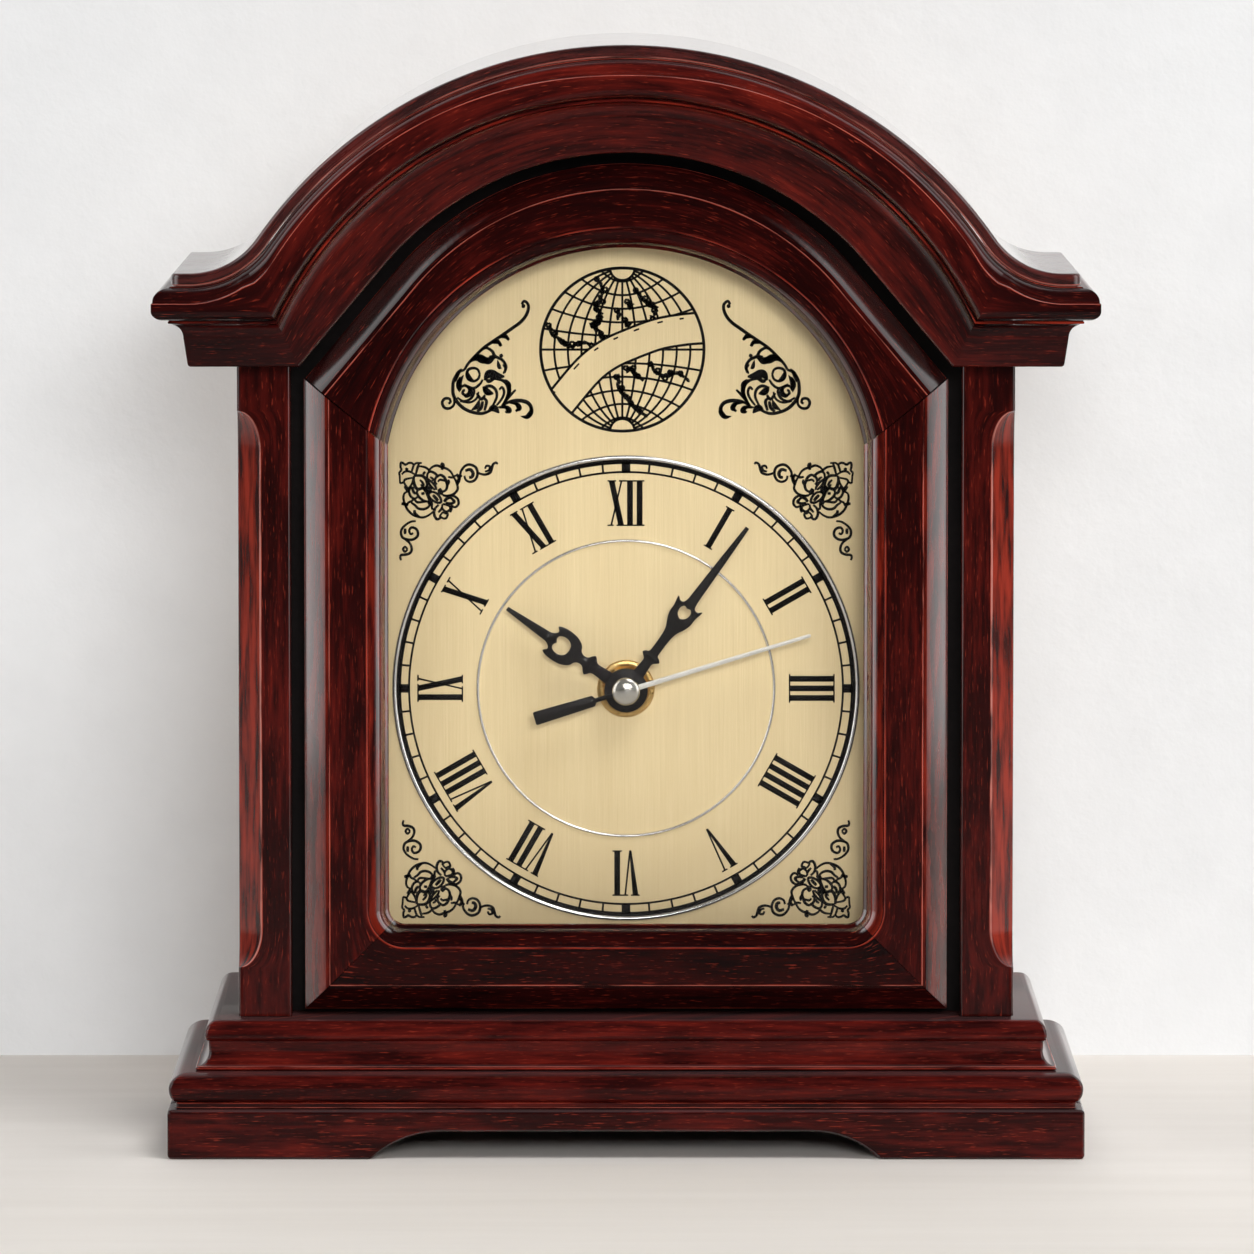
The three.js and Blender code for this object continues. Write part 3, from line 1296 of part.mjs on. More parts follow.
function hands() {
  const hourShape = bladeShape({
    length: hourHandShare * outerRingRadius,
    collar: hourCollarReach,
    shield: hourShieldReach,
    shieldLength: hourShieldLength,
    shieldHalf: hourShieldHalf,
    eyeRadius: hourEyeRadius,
    bore: hourTubeRadius + pressGap,
  });
  hand('hour_hand', hourShape, hourHandLift, hourHandTurn, finish.blackHand);
  const minuteShape = bladeShape({
    length: minuteHandShare * outerRingRadius,
    collar: minuteCollarReach,
    shield: minuteShieldReach,
    shieldLength: minuteShieldLength,
    shieldHalf: minuteShieldHalf,
    eyeRadius: minuteEyeRadius,
    bore: minuteTubeRadius + pressGap,
  });
  hand('minute_hand', minuteShape, minuteHandLift, minuteHandTurn, finish.blackHand);
  hand('second_hand', secondHandShape(), secondHandLift, secondHandTurn, finish.steel);
  const seat = yDial - secondHandLift - handThickness - glueGap;
  const dome = [[0, seat], [capRadius, seat], [capRadius, seat - capSkirt]];
  for (let i = 1; i <= 4; i++) {
    const lean = (Math.PI / 2) * (i / 4);
    dome.push([capRadius * Math.cos(lean), seat - capSkirt - (capHeight - capSkirt) * Math.sin(lean)]);
  }
  place('second_hand_cap', turned(dome, 0, dialAxisHeight, 24), finish.polished);
}

base();
crown();
caseBody();
frontFrame();
dial();
motionWork();
goingTrain();
motor();
cell();
movementHousing();
fixings();
hands();

export default clock;
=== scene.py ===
import math
import bmesh
import bpy
import numpy as np
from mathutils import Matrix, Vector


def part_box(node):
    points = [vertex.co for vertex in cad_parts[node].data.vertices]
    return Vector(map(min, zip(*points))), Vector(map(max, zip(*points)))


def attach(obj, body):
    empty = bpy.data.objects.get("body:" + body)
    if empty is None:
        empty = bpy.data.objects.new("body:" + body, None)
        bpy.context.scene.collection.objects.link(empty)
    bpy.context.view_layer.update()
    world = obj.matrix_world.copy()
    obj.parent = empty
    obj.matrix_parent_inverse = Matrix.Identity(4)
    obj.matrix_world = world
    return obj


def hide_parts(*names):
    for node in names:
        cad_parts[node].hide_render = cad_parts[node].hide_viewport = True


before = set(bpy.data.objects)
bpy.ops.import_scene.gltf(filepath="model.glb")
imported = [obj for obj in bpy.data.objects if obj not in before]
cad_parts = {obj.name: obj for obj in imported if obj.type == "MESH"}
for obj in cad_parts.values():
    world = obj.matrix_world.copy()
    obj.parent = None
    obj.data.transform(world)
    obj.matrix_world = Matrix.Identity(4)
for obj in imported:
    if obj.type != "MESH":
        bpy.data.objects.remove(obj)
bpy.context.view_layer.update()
scene = bpy.context.scene
scene.view_settings.view_transform = "Standard"
mm = 0.001
print("clock frame loaded with", len(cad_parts), "nodes")


def cadBox(node):  # lowest and highest corner of a CAD node, in mm
    low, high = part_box(node)
    return np.array(low) / mm, np.array(high) / mm


caseSize = {
    "half": cadBox("stile_right")[1][0],
    "front": cadBox("stile_right")[0][1],
    "back": cadBox("side_panel_right")[1][1],
    "floor": cadBox("base_upper_board")[1][2],
    "crownFoot": cadBox("crown_cove_front")[0][2],
    "crownSeam": cadBox("crown_nose_front")[0][2],
    "apex": cadBox("roof_panel")[1][2],
    "joint": 0.15,  # glue line
}
dialSize = {
    "face": cadBox("dial_plate")[0][1],
    "axis": (cadBox("dial_outer_ring")[0][2] + cadBox("dial_outer_ring")[1][2]) / 2,
}


# camera, room and lights

photoView = {
    "imageSize": 1254,
    "lens": 292.5,
    "sensor": 36.0,
    "place": (0.0, -2.49343, 0.34134),
    "tilt": 4.9655,  # degrees below level
    "aimPixel": 626,  # column of the clock's middle
}


def placeCamera():
    lens = bpy.data.cameras.new("photoCamera")
    lens.lens = photoView["lens"]
    lens.sensor_width = photoView["sensor"]
    lens.shift_x = (photoView["imageSize"] / 2 - photoView["aimPixel"]) / photoView["imageSize"]
    lens.clip_end = 50
    camera = bpy.data.objects.new("photoCamera", lens)
    camera.location = photoView["place"]
    camera.rotation_euler = (math.radians(90 - photoView["tilt"]), 0, 0)
    scene.collection.objects.link(camera)
    scene.camera = camera


room = {
    "wallBehind": 0.145,
    "reach": 4.0,
    "height": 4.0,
    "floor": (((0.76, 0.715, 0.665), (0.88, 0.84, 0.795)), (6, 60, 60), 0.05),  # two tones, grain per metre, bump
    "wall": (((0.72, 0.73, 0.74), (0.795, 0.805, 0.815)), (60, 60, 60), 0.25),
    "grain": (5.0, 0.6),  # detail and roughness
    "bumpDepth": 0.002,
    "roughness": 0.7,
    "window": (0.095, 0.055, 0.32),  # half width, low and high edge of where the back lamp shines through the wall
}

lamps = {  # place, aim, width, height, watts, spread in degrees
    "keyTop": ((0.60, -0.85, 1.65), (0, -0.03, 0.10), 0.8, 0.7, 3.4, 80),
    "front": ((0.25, -2.6, 0.75), (0, 0, 0.15), 0.9, 0.5, 3.4, 50),
    "stripLeft": ((-1.75, -0.60, 0.80), (0, 0, 0.20), 0.6, 1.4, 2.2, 110),
    "stripRight": ((1.75, -0.60, 0.80), (0, 0, 0.20), 0.6, 1.4, 3.2, 110),
    "back": ((-0.15, 1.6, 0.85), (0, 0.05, 0.14), 0.7, 0.7, 2.4, 50),
}
cards = {  # the same for white cards that only show in polish
    "cardLeft": ((-0.70, -0.36, 0.52), (0, -0.03, 0.40), 0.55, 1.02, 3.4, 180),
    "cardRight": ((0.70, -0.36, 0.52), (0, -0.03, 0.40), 0.55, 1.02, 3.4, 180),
}
sky = {"tone": (1.0, 0.99, 0.98, 1.0), "level": 0.14}


def feed(tree, node, values):  # a node's inputs, each linked to a socket or given a fixed value
    for label, value in values.items():
        if isinstance(value, bpy.types.NodeSocket):
            tree.links.new(value, node.inputs[label])
        else:
            node.inputs[label].default_value = value


def addNode(tree, kind, values=None, **settings):
    node = tree.nodes.new(kind)
    for key, value in settings.items():
        setattr(node, key, value)
    feed(tree, node, values or {})
    return node


def mixColour(tree, factor, first, second):
    values = {0: factor, 6: first, 7: second}  # the Mix node's factor and its two colours
    for key in (6, 7):
        if isinstance(values[key], tuple):
            values[key] = (*values[key], 1.0)
    return addNode(tree, "ShaderNodeMix", values, data_type="RGBA").outputs[2]


def addRamp(tree, factor, stops):
    node = addNode(tree, "ShaderNodeValToRGB", {"Fac": factor})
    elements = node.color_ramp.elements
    elements[0].position, elements[0].color = stops[0][0], (*stops[0][1], 1)
    elements[1].position, elements[1].color = stops[-1][0], (*stops[-1][1], 1)
    for place, colour in stops[1:-1]:
        elements.new(place).color = (*colour, 1)
    return node.outputs["Color"]


def mathNode(tree, operation, *values):
    return addNode(tree, "ShaderNodeMath", dict(enumerate(values)), operation=operation).outputs[0]


def blendValues(tree, first, second, share):  # this share of the first and the rest of the second
    rest = mathNode(tree, "MULTIPLY", second, 1 - share)
    return mathNode(tree, "ADD", mathNode(tree, "MULTIPLY", first, share), rest)


def rangeNode(tree, value, low, high, toLow=0.0, toHigh=1.0):
    values = {"Value": value, "From Min": low, "From Max": high, "To Min": toLow, "To Max": toHigh}
    return addNode(tree, "ShaderNodeMapRange", values).outputs[0]


def bumpNode(tree, height, strength, distance):
    return addNode(tree, "ShaderNodeBump", {"Height": height, "Strength": strength, "Distance": distance}).outputs[0]


def objectPlace(tree):
    return addNode(tree, "ShaderNodeTexCoord").outputs["Object"]


def splitPlace(tree, place):
    return addNode(tree, "ShaderNodeSeparateXYZ", {0: place}).outputs


def stretchedNoise(tree, vector, scale, detail, roughness=0.5, distortion=0.0):
    mapped = addNode(tree, "ShaderNodeMapping", {"Vector": vector, "Scale": scale}).outputs[0]
    values = {"Vector": mapped, "Scale": 1.0, "Detail": detail, "Roughness": roughness, "Distortion": distortion}
    return addNode(tree, "ShaderNodeTexNoise", values).outputs["Fac"]


def newMaterial(name):
    material = bpy.data.materials.new(name)
    material.use_nodes = True
    return material, material.node_tree, material.node_tree.nodes["Principled BSDF"]


def clearWhere(tree, shader, share):  # lets this share of the light straight through
    clear = addNode(tree, "ShaderNodeBsdfTransparent").outputs[0]
    both = addNode(tree, "ShaderNodeMixShader", {0: share, 1: shader.outputs[0], 2: clear}).outputs[0]
    feed(tree, tree.nodes["Material Output"], {"Surface": both})


def roomMaterial(name, tones, scale, bump):  # pale and matt; see-through from its back, and in the window for lamps
    material, tree, shader = newMaterial(name)
    place = objectPlace(tree)
    grain = stretchedNoise(tree, place, scale, *room["grain"])
    normal = bumpNode(tree, grain, bump, room["bumpDepth"])
    feed(tree, shader, {"Base Color": mixColour(tree, grain, *tones), "Roughness": room["roughness"], "Normal": normal})
    back = addNode(tree, "ShaderNodeNewGeometry").outputs["Backfacing"]
    shadow = addNode(tree, "ShaderNodeLightPath").outputs["Is Shadow Ray"]
    half, low, high = room["window"]
    across, _, up = splitPlace(tree, place)
    wide = mathNode(tree, "LESS_THAN", mathNode(tree, "ABSOLUTE", across), half)
    tall = mathNode(tree, "COMPARE", up, (low + high) / 2, (high - low) / 2)
    window = mathNode(tree, "MULTIPLY", shadow, mathNode(tree, "MULTIPLY", wide, tall))
    clearWhere(tree, shader, mathNode(tree, "MAXIMUM", back, window))
    return material


def buildRoom():
    reach, behind, height = (room[key] for key in ("reach", "wallBehind", "height"))
    sheets = {
        "floor": ("paleTable", [(-reach, reach, 0), (-reach, -reach, 0), (reach, -reach, 0), (reach, reach, 0)]),
        "wall": ("paleWall", [(x, behind, z) for x, z in ((-reach, 0), (reach, 0), (reach, height), (-reach, height))]),
    }
    for name, (finish, points) in sheets.items():
        mesh = bpy.data.meshes.new(name)
        mesh.from_pydata(points, [], [(0, 1, 2, 3)])
        mesh.materials.append(roomMaterial(finish, *room[name]))
        sheet = bpy.data.objects.new(name, mesh)
        scene.collection.objects.link(sheet)


def hangLamps():
    for name, (place, aim, width, height, watts, spread) in {**lamps, **cards}.items():
        lamp = bpy.data.lights.new(name, "AREA")
        lamp.shape = "RECTANGLE"
        lamp.size, lamp.size_y, lamp.energy = width, height, watts
        lamp.spread = math.radians(spread)
        holder = bpy.data.objects.new(name, lamp)
        way = np.array(aim) - np.array(place)
        level = math.hypot(way[0], way[1])
        holder.visible_diffuse, holder.visible_glossy = name in lamps, name in cards
        holder.location = place
        holder.rotation_euler = (math.atan2(level, -way[2]), 0, math.atan2(-way[0], way[1]))
        scene.collection.objects.link(holder)
    world = bpy.data.worlds.new("softStudio")
    world.use_nodes = True
    feed(world.node_tree, world.node_tree.nodes["Background"], {"Color": sky["tone"], "Strength": sky["level"]})
    scene.world = world


placeCamera()
buildRoom()
hangLamps()
print("camera, room and lights placed")


# finishes

vectorSocket, valueSocket, colourSocket = "NodeSocketVector", "NodeSocketFloat", "NodeSocketColor"


def newGroup(name, inputs, outputs):  # inputs and outputs: each kind of socket with its labels
    group = bpy.data.node_groups.new(name, "ShaderNodeTree")
    for way, sockets in (("INPUT", inputs), ("OUTPUT", outputs)):
        for kind, labels in sockets.items():
            for label in labels:
                group.interface.new_socket(label, in_out=way, socket_type=kind)
    return group, group.nodes.new("NodeGroupInput").outputs, group.nodes.new("NodeGroupOutput")


lacquerLook = {
    "figure": ((24, 120, 120), 3.0, 0.55, 0.5),  # noise per metre along and across, detail, roughness, distortion
    "streak": ((70, 950, 950), 5.0, 0.62),
    "pores": ((260, 3000, 3000), 2.0),
    "rubAndGlint": ((60, 500, 500), 3.0),
    "figureShare": 0.52,
    "tones": (
        (0.30, (0.0050, 0.0010, 0.0011)),
        (0.47, (0.019, 0.0019, 0.0017)),
        (0.60, (0.064, 0.0050, 0.0036)),
        (0.78, (0.160, 0.0120, 0.0070)),
    ),
    "poreTone": (0.26, 0.030, 0.016),
    "poreMask": (0.62, 0.72, 0.0, 0.5),  # range of the noise, then of the mask
    "poreDepth": 0.5,
    "wornAndGlint": ((0.45, (0.30, 0.025, 0.011)), (0.85, (0.40, 0.135, 0.105))),  # edge weight and the tone that shows: worn lacquer, and a painted highlight along sharp edges
    "rubAndGlintMask": (0.36, 0.62, 0.1, 1.0),
    "wearAndGlintMask": (0.06, 0.5),
    "dustAndSheenTone": (0.17, 0.145, 0.150),
    "dustAndSheen": 0.14,
    "dustCoat": 0.42,
    "roughness": (0.3, 0.7, 0.22, 0.34),
    "bump": (0.04, 0.0004),
    "polish": (0.12, 1.55, 0.0, 0.2),  # coat's roughness and index, wood's specular level, coat left on forward faces
    "roofPolish": (0.05, 1.55, 0.5, 0.2),
    "framePolish": (0.12, 2.0, 0.0, 0.05),
}
lacquers = {  # the piece's own UV map or the axis that the grain follows, and the polish
    "lacquerUv": ("uv", "polish"),
    "lacquerX": ("x", "polish"),
    "lacquerY": ("y", "polish"),
    "lacquerZ": ("z", "polish"),
    "lacquerRoof": ("uv", "roofPolish"),
    "lacquerFrame": ("uv", "framePolish"),
}


def lacquerGrainGroup():  # red wood under clear lacquer: X of the vector runs along the grain, in metres
    look = lacquerLook
    inputs = {vectorSocket: ["Vector"], valueSocket: ["Edge", "Upward", "Facing", "Shade", "Satin"]}
    outputs = {colourSocket: ["Color"], valueSocket: ["Roughness", "Height", "Coat"]}
    group, entry, end = newGroup("lacquerGrain", inputs, outputs)
    noises = ("figure", "streak", "pores", "rubAndGlint")
    figure, streak, pores, rubAndGlint = (stretchedNoise(group, entry["Vector"], *look[key]) for key in noises)
    tone = mathNode(group, "ADD", blendValues(group, figure, streak, look["figureShare"]), entry["Shade"])
    wood = addRamp(group, tone, look["tones"])
    wood = mixColour(group, rangeNode(group, pores, *look["poreMask"]), wood, look["poreTone"])
    # edges take a paler red and pink tone: wear, with painted highlights along arrises and painted light on cuts
    rubbedAndLit = mathNode(group, "MULTIPLY", entry["Edge"], rangeNode(group, rubAndGlint, *look["rubAndGlintMask"]))
    wornAndGlint = addRamp(group, entry["Edge"], look["wornAndGlint"])
    wood = mixColour(group, rangeNode(group, rubbedAndLit, *look["wearAndGlintMask"]), wood, wornAndGlint)
    # upward faces take a grey tone: dust, and a painted sheen
    wood = mixColour(group, mathNode(group, "MULTIPLY", entry["Upward"], look["dustAndSheen"]), wood, look["dustAndSheenTone"])
    dusty = rangeNode(group, entry["Upward"], 0, 1, 1.0, look["dustCoat"])
    satin = rangeNode(group, entry["Facing"], 0, 1, 1.0, entry["Satin"])
    feed(group, end, {
        "Color": wood,
        "Roughness": rangeNode(group, streak, *look["roughness"]),
        "Height": mathNode(group, "SUBTRACT", streak, mathNode(group, "MULTIPLY", pores, look["poreDepth"])),
        "Coat": mathNode(group, "MULTIPLY", dusty, satin),
    })
    return group


def lacquer(name, group):
    way, polish = lacquers[name]
    coatRoughness, coatIndex, specular, satin = lacquerLook[polish]
    material, tree, shader = newMaterial(name)
    if way == "uv":
        vector = addNode(tree, "ShaderNodeUVMap", uv_map="grain").outputs["UV"]
    else:
        part = splitPlace(tree, objectPlace(tree))
        order = {"x": "XYZ", "y": "YXZ", "z": "ZXY"}[way]
        vector = addNode(tree, "ShaderNodeCombineXYZ", {i: part[axis] for i, axis in enumerate(order)}).outputs[0]
    values = {"Vector": vector, "Satin": satin}
    for label in ("edge", "upward", "facing", "shade"):
        values[label.capitalize()] = addNode(tree, "ShaderNodeAttribute", attribute_name=label).outputs["Fac"]
    wood = addNode(tree, "ShaderNodeGroup", values, node_tree=group).outputs
    feed(tree, shader, {
        "Base Color": wood["Color"],
        "Roughness": wood["Roughness"],
        "Coat Weight": wood["Coat"],
        "Coat Roughness": coatRoughness,
        "Coat IOR": coatIndex,
        "Specular IOR Level": specular,
        "Normal": bumpNode(tree, wood["Height"], *lacquerLook["bump"]),
    })
    return material


speckleLook = {
    "coarse": ((0.12, 0.12, 0.12), 2.0),
    "fine": ((1.0, 1.0, 1.0), 4.0, 0.6),
    "coarseShare": 0.4,
    "range": (0.3, 0.7),
    "bumpDepth": 0.0002,
}
plainFinishes = {  # dark tone, light tone, pattern scale per metre, roughness range, metallic, bump, specular
    "blackBoard": ((0.004, 0.0036, 0.0036), (0.011, 0.009, 0.009), (500, 500, 500), (0.55, 0.75), 0.0, 0.15, 0.08),
    "rawBoard": ((0.22, 0.13, 0.065), (0.38, 0.25, 0.14), (700, 700, 2200), (0.75, 0.9), 0.0, 0.3, 0.5),
    "ringMetal": ((0.84, 0.83, 0.81), (0.94, 0.93, 0.91), (300, 300, 300), (0.10, 0.18), 0.9, 0.0, 0.5),
    "brass": ((0.50, 0.31, 0.10), (0.72, 0.49, 0.20), (900, 900, 2500), (0.24, 0.40), 1.0, 0.05, 0.5),
    "handBlack": ((0.006, 0.0055, 0.0055), (0.016, 0.014, 0.013), (1800, 1800, 1800), (0.34, 0.5), 0.0, 0.08, 0.15),
    "needleMetal": ((0.60, 0.58, 0.52), (0.74, 0.72, 0.66), (1500, 1500, 1500), (0.3, 0.42), 0.3, 0.03, 0.4),
    "steel": ((0.42, 0.42, 0.43), (0.62, 0.62, 0.63), (1200, 1200, 3000), (0.2, 0.34), 1.0, 0.05, 0.5),
    "capMetal": ((0.58, 0.56, 0.50), (0.74, 0.72, 0.66), (2500, 2500, 2500), (0.16, 0.28), 1.0, 0.02, 0.5),
    "blackPlastic": ((0.010, 0.010, 0.011), (0.022, 0.022, 0.024), (2600, 2600, 2600), (0.42, 0.6), 0.0, 0.25, 0.5),
    "nylon": ((0.68, 0.65, 0.57), (0.80, 0.78, 0.71), (1200, 1200, 1200), (0.38, 0.5), 0.0, 0.05, 0.5),
    "rubber": ((0.009, 0.009, 0.009), (0.02, 0.02, 0.02), (1500, 1500, 1500), (0.75, 0.9), 0.0, 0.2, 0.5),
    "printInk": ((0.0035, 0.003, 0.003), (0.009, 0.008, 0.007), (1200, 1200, 1200), (0.35, 0.5), 0.0, 0.05, 0.1),
}


def speckleGroup():  # two sizes of noise mixed between two tones; the vector sets size and direction
    inputs = {vectorSocket: ["Vector"], colourSocket: ["Dark", "Light"]}
    group, entry, end = newGroup("speckle", inputs, {colourSocket: ["Color"], valueSocket: ["Mask"]})
    coarse, fine = (stretchedNoise(group, entry["Vector"], *speckleLook[key]) for key in ("coarse", "fine"))
    mask = rangeNode(group, blendValues(group, coarse, fine, speckleLook["coarseShare"]), *speckleLook["range"])
    feed(group, end, {"Color": mixColour(group, mask, entry["Dark"], entry["Light"]), "Mask": mask})
    return group


def speckledFinish(name, group):
    dark, light, scale, roughness, metallic, bump, specular = plainFinishes[name]
    material, tree, shader = newMaterial(name)
    mapped = addNode(tree, "ShaderNodeMapping", {"Vector": objectPlace(tree), "Scale": scale}).outputs[0]
    values = {"Vector": mapped, "Dark": (*dark, 1), "Light": (*light, 1)}
    speckle = addNode(tree, "ShaderNodeGroup", values, node_tree=group).outputs
    feed(tree, shader, {
        "Base Color": speckle["Color"],
        "Roughness": rangeNode(tree, speckle["Mask"], 0, 1, *roughness),
        "Metallic": metallic,
        "Specular IOR Level": specular,
        "Normal": bumpNode(tree, speckle["Mask"], bump, speckleLook["bumpDepth"]),
    })
    return material


giltLook = {
    "brush": ((4200, 4200, 45), 3.0, 0.6),
    "sweep": ((60, 60, 3), 2.0),
    "brushShare": 0.65,
    "range": (0.32, 0.68),
    "tones": ((0.80, 0.63, 0.345), (0.94, 0.765, 0.447)),
    # painted shade: its colour, then where it falls
    "paintedShade": (0.40, 0.30, 0.16),
    "paintedShadeByHeight": ((0.0535, 0.62), (0.060, 0.48), (0.085, 0.20), (0.130, 0.0)),  # height and share of the painted shade, darkest at the bottom edge
    "sides": (0.034, 0.058, 0.0, 0.42),  # painted shade towards the sides: distance from the middle where it starts and ends, least and greatest share
    "metallic": 0.12,
    "roughness": (0.36, 0.5),
    "bump": (0.06, 0.0001),
}


def giltMaterial():  # fine upright brushing on pale gold, darkened by painted shade towards the sides and by a painted reflection of the frame along the bottom
    look = giltLook
    material, tree, shader = newMaterial("brushedGilt")
    place = objectPlace(tree)
    brush, sweep = (stretchedNoise(tree, place, *look[key]) for key in ("brush", "sweep"))
    mask = rangeNode(tree, blendValues(tree, brush, sweep, look["brushShare"]), *look["range"])
    along = splitPlace(tree, place)
    aside = rangeNode(tree, mathNode(tree, "ABSOLUTE", along["X"]), *look["sides"])
    low, high = look["paintedShadeByHeight"][0][0], look["paintedShadeByHeight"][-1][0]
    stops = [((level - low) / (high - low), (share, share, share)) for level, share in look["paintedShadeByHeight"]]
    paintedShade = mathNode(tree, "MAXIMUM", addRamp(tree, rangeNode(tree, along["Z"], low, high), stops), aside)
    feed(tree, shader, {
        "Base Color": mixColour(tree, paintedShade, mixColour(tree, mask, *look["tones"]), look["paintedShade"]),
        "Roughness": rangeNode(tree, mask, 0, 1, *look["roughness"]),
        "Metallic": look["metallic"],
        "Normal": bumpNode(tree, brush, *look["bump"]),
    })
    return material


paneLook = {"smear": ((30, 30, 18), 3.0), "roughness": (0.3, 0.8, 0.0, 0.02), "index": 1.15}  # low, as on coated glass


def paneMaterial():  # clear glass that lets the light of lamps and bounces through
    material, tree, shader = newMaterial("clearPane")
    smear = stretchedNoise(tree, objectPlace(tree), *paneLook["smear"])
    roughness = rangeNode(tree, smear, *paneLook["roughness"])
    feed(tree, shader, {"Roughness": roughness, "Transmission Weight": 1.0, "IOR": paneLook["index"]})
    path = addNode(tree, "ShaderNodeLightPath").outputs
    clearWhere(tree, shader, mathNode(tree, "MAXIMUM", path["Is Shadow Ray"], path["Is Diffuse Ray"]))
    return material


copperLook = {
    "turns": {"Scale": 900.0, "Distortion": 0.6},
    "tones": ((0.16, 0.045, 0.016), (0.52, 0.20, 0.085)),
    "metallic": 0.8,
    "roughness": 0.35,
    "bump": (0.5, 0.0001),
}


def copperMaterial():  # turns of fine enamelled wire, side by side along X
    material, tree, shader = newMaterial("copperTurns")
    wave = addNode(tree, "ShaderNodeTexWave", {"Vector": objectPlace(tree), **copperLook["turns"]}).outputs["Fac"]
    feed(tree, shader, {
        "Base Color": mixColour(tree, wave, *copperLook["tones"]),
        "Metallic": copperLook["metallic"],
        "Roughness": copperLook["roughness"],
        "Normal": bumpNode(tree, wave, *copperLook["bump"]),
    })
    return material


circuitLook = {
    "net": {
        "Scale": 260.0,
        "Color1": (0.02, 0.09, 0.035, 1),
        "Color2": (0.028, 0.12, 0.05, 1),
        "Mortar": (0.10, 0.24, 0.09, 1),
        "Mortar Size": 0.03,
    },
    "roughness": (0.45, 0.25),
}


def circuitMaterial():  # green board with paler tracks in a square net
    material, tree, shader = newMaterial("circuitGreen")
    net = addNode(tree, "ShaderNodeTexBrick", {"Vector": objectPlace(tree), **circuitLook["net"]}).outputs
    roughness = rangeNode(tree, net["Fac"], 0, 1, *circuitLook["roughness"])
    feed(tree, shader, {"Base Color": net["Color"], "Roughness": roughness})
    return material


cellLook = {
    "grain": ((500, 500, 500), 3.0),
    "sleeve": ((0.012, 0.012, 0.014), (0.028, 0.028, 0.032)),
    "end": (0.50, 0.24, 0.10),
    "endFrom": (0.0125, 0.0129),
    "roughness": (0.3, 0.7, 0.25, 0.4),
    "metallic": 0.4,
}


def cellMaterial():  # printed sleeve, dark with one copper coloured end
    material, tree, shader = newMaterial("cellSleeve")
    place = objectPlace(tree)
    grain = stretchedNoise(tree, place, *cellLook["grain"])
    band = rangeNode(tree, splitPlace(tree, place)["X"], *cellLook["endFrom"])
    feed(tree, shader, {
        "Base Color": mixColour(tree, band, mixColour(tree, grain, *cellLook["sleeve"]), cellLook["end"]),
        "Roughness": rangeNode(tree, grain, *cellLook["roughness"]),
        "Metallic": cellLook["metallic"],
    })
    return material


woodGroup, speckle = lacquerGrainGroup(), speckleGroup()
finishes = {name: lacquer(name, woodGroup) for name in lacquers}
finishes.update({name: speckledFinish(name, speckle) for name in plainFinishes})
finishes.update(gilt=giltMaterial(), pane=paneMaterial(), copper=copperMaterial())
finishes.update(circuit=circuitMaterial(), cell=cellMaterial())
print("finishes mixed:", len(finishes))


# making surfaces

grainShift = iter(np.arange(0.0, 40.0, 0.173))  # each piece is cut from another part of the plank
faceLook = {"from": 0.84, "over": 0.13, "level": 0.5, "lean": 0.04}  # when a face counts as looking up or forwards
seamSize = {"merge": 2e-6, "sharp": 32}  # metres between points that become one, degrees of a hard edge
# edge marks: wear, with painted highlights along sharp edges
wearAndGlintSize = {"reach": 0.17, "room": 2.5, "from": 14, "over": 36}  # mm from an edge, least run of it, degrees of turn
sectionStep = 0.6  # mm between the points of a section


def asPoints(*columns):  # coordinates side by side
    return np.stack(np.broadcast_arrays(*columns), axis=-1)


def travelled(points):  # length along a line of points, from its start to each of them
    return np.append(0, np.cumsum(np.linalg.norm(np.diff(points, axis=0), axis=1)))


def surface(name, points, faces, uv=None, edge=None, shade=None):  # points in mm; uv, edge and shade for each point
    mesh = bpy.data.meshes.new(name)
    mesh.from_pydata((points * mm).tolist(), [], faces)
    corner = np.empty(len(mesh.loops), dtype=np.int32)
    mesh.loops.foreach_get("vertex_index", corner)
    if uv is not None:
        shift = np.array([0.0, next(grainShift)])
        mesh.uv_layers.new(name="grain").uv.foreach_set("vector", (uv[corner] * mm + shift).ravel())
    for label, amounts in (("edge", edge), ("shade", shade)):
        if amounts is not None:
            mesh.attributes.new(label, "FLOAT", "POINT").data.foreach_set("value", amounts)
    work = bmesh.new()
    work.from_mesh(mesh)
    bmesh.ops.remove_doubles(work, verts=work.verts, dist=seamSize["merge"])
    bmesh.ops.recalc_face_normals(work, faces=work.faces)
    work.to_mesh(mesh)
    work.free()
    normal = np.empty(3 * len(mesh.polygons), dtype=np.float32)
    mesh.polygons.foreach_get("normal", normal)
    nx, ny, nz = normal.reshape(-1, 3).T
    front = faceLook["level"] * np.maximum(np.abs(nz) - np.abs(nx), 0) - ny + faceLook["lean"]
    for label, amount in (("upward", nz), ("facing", front)):  # faces that look up, or forwards and not aside
        share = np.clip((amount - faceLook["from"]) / faceLook["over"], 0, 1)
        mesh.attributes.new(label, "FLOAT", "FACE").data.foreach_set("value", share)
    mesh.polygons.foreach_set("use_smooth", np.ones(len(mesh.polygons), dtype=bool))
    mesh.set_sharp_from_angle(angle=math.radians(seamSize["sharp"]))
    piece = bpy.data.objects.new(name, mesh)
    scene.collection.objects.link(piece)
    return piece


def dress(piece, finish, body="case", nodes=()):
    piece.data.materials.append(finishes[finish])
    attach(piece, body)
    if nodes:
        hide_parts(*nodes)
    return piece


def lacquered(piece, *nodes, finish="lacquerUv"):
    return dress(piece, finish, nodes=nodes)


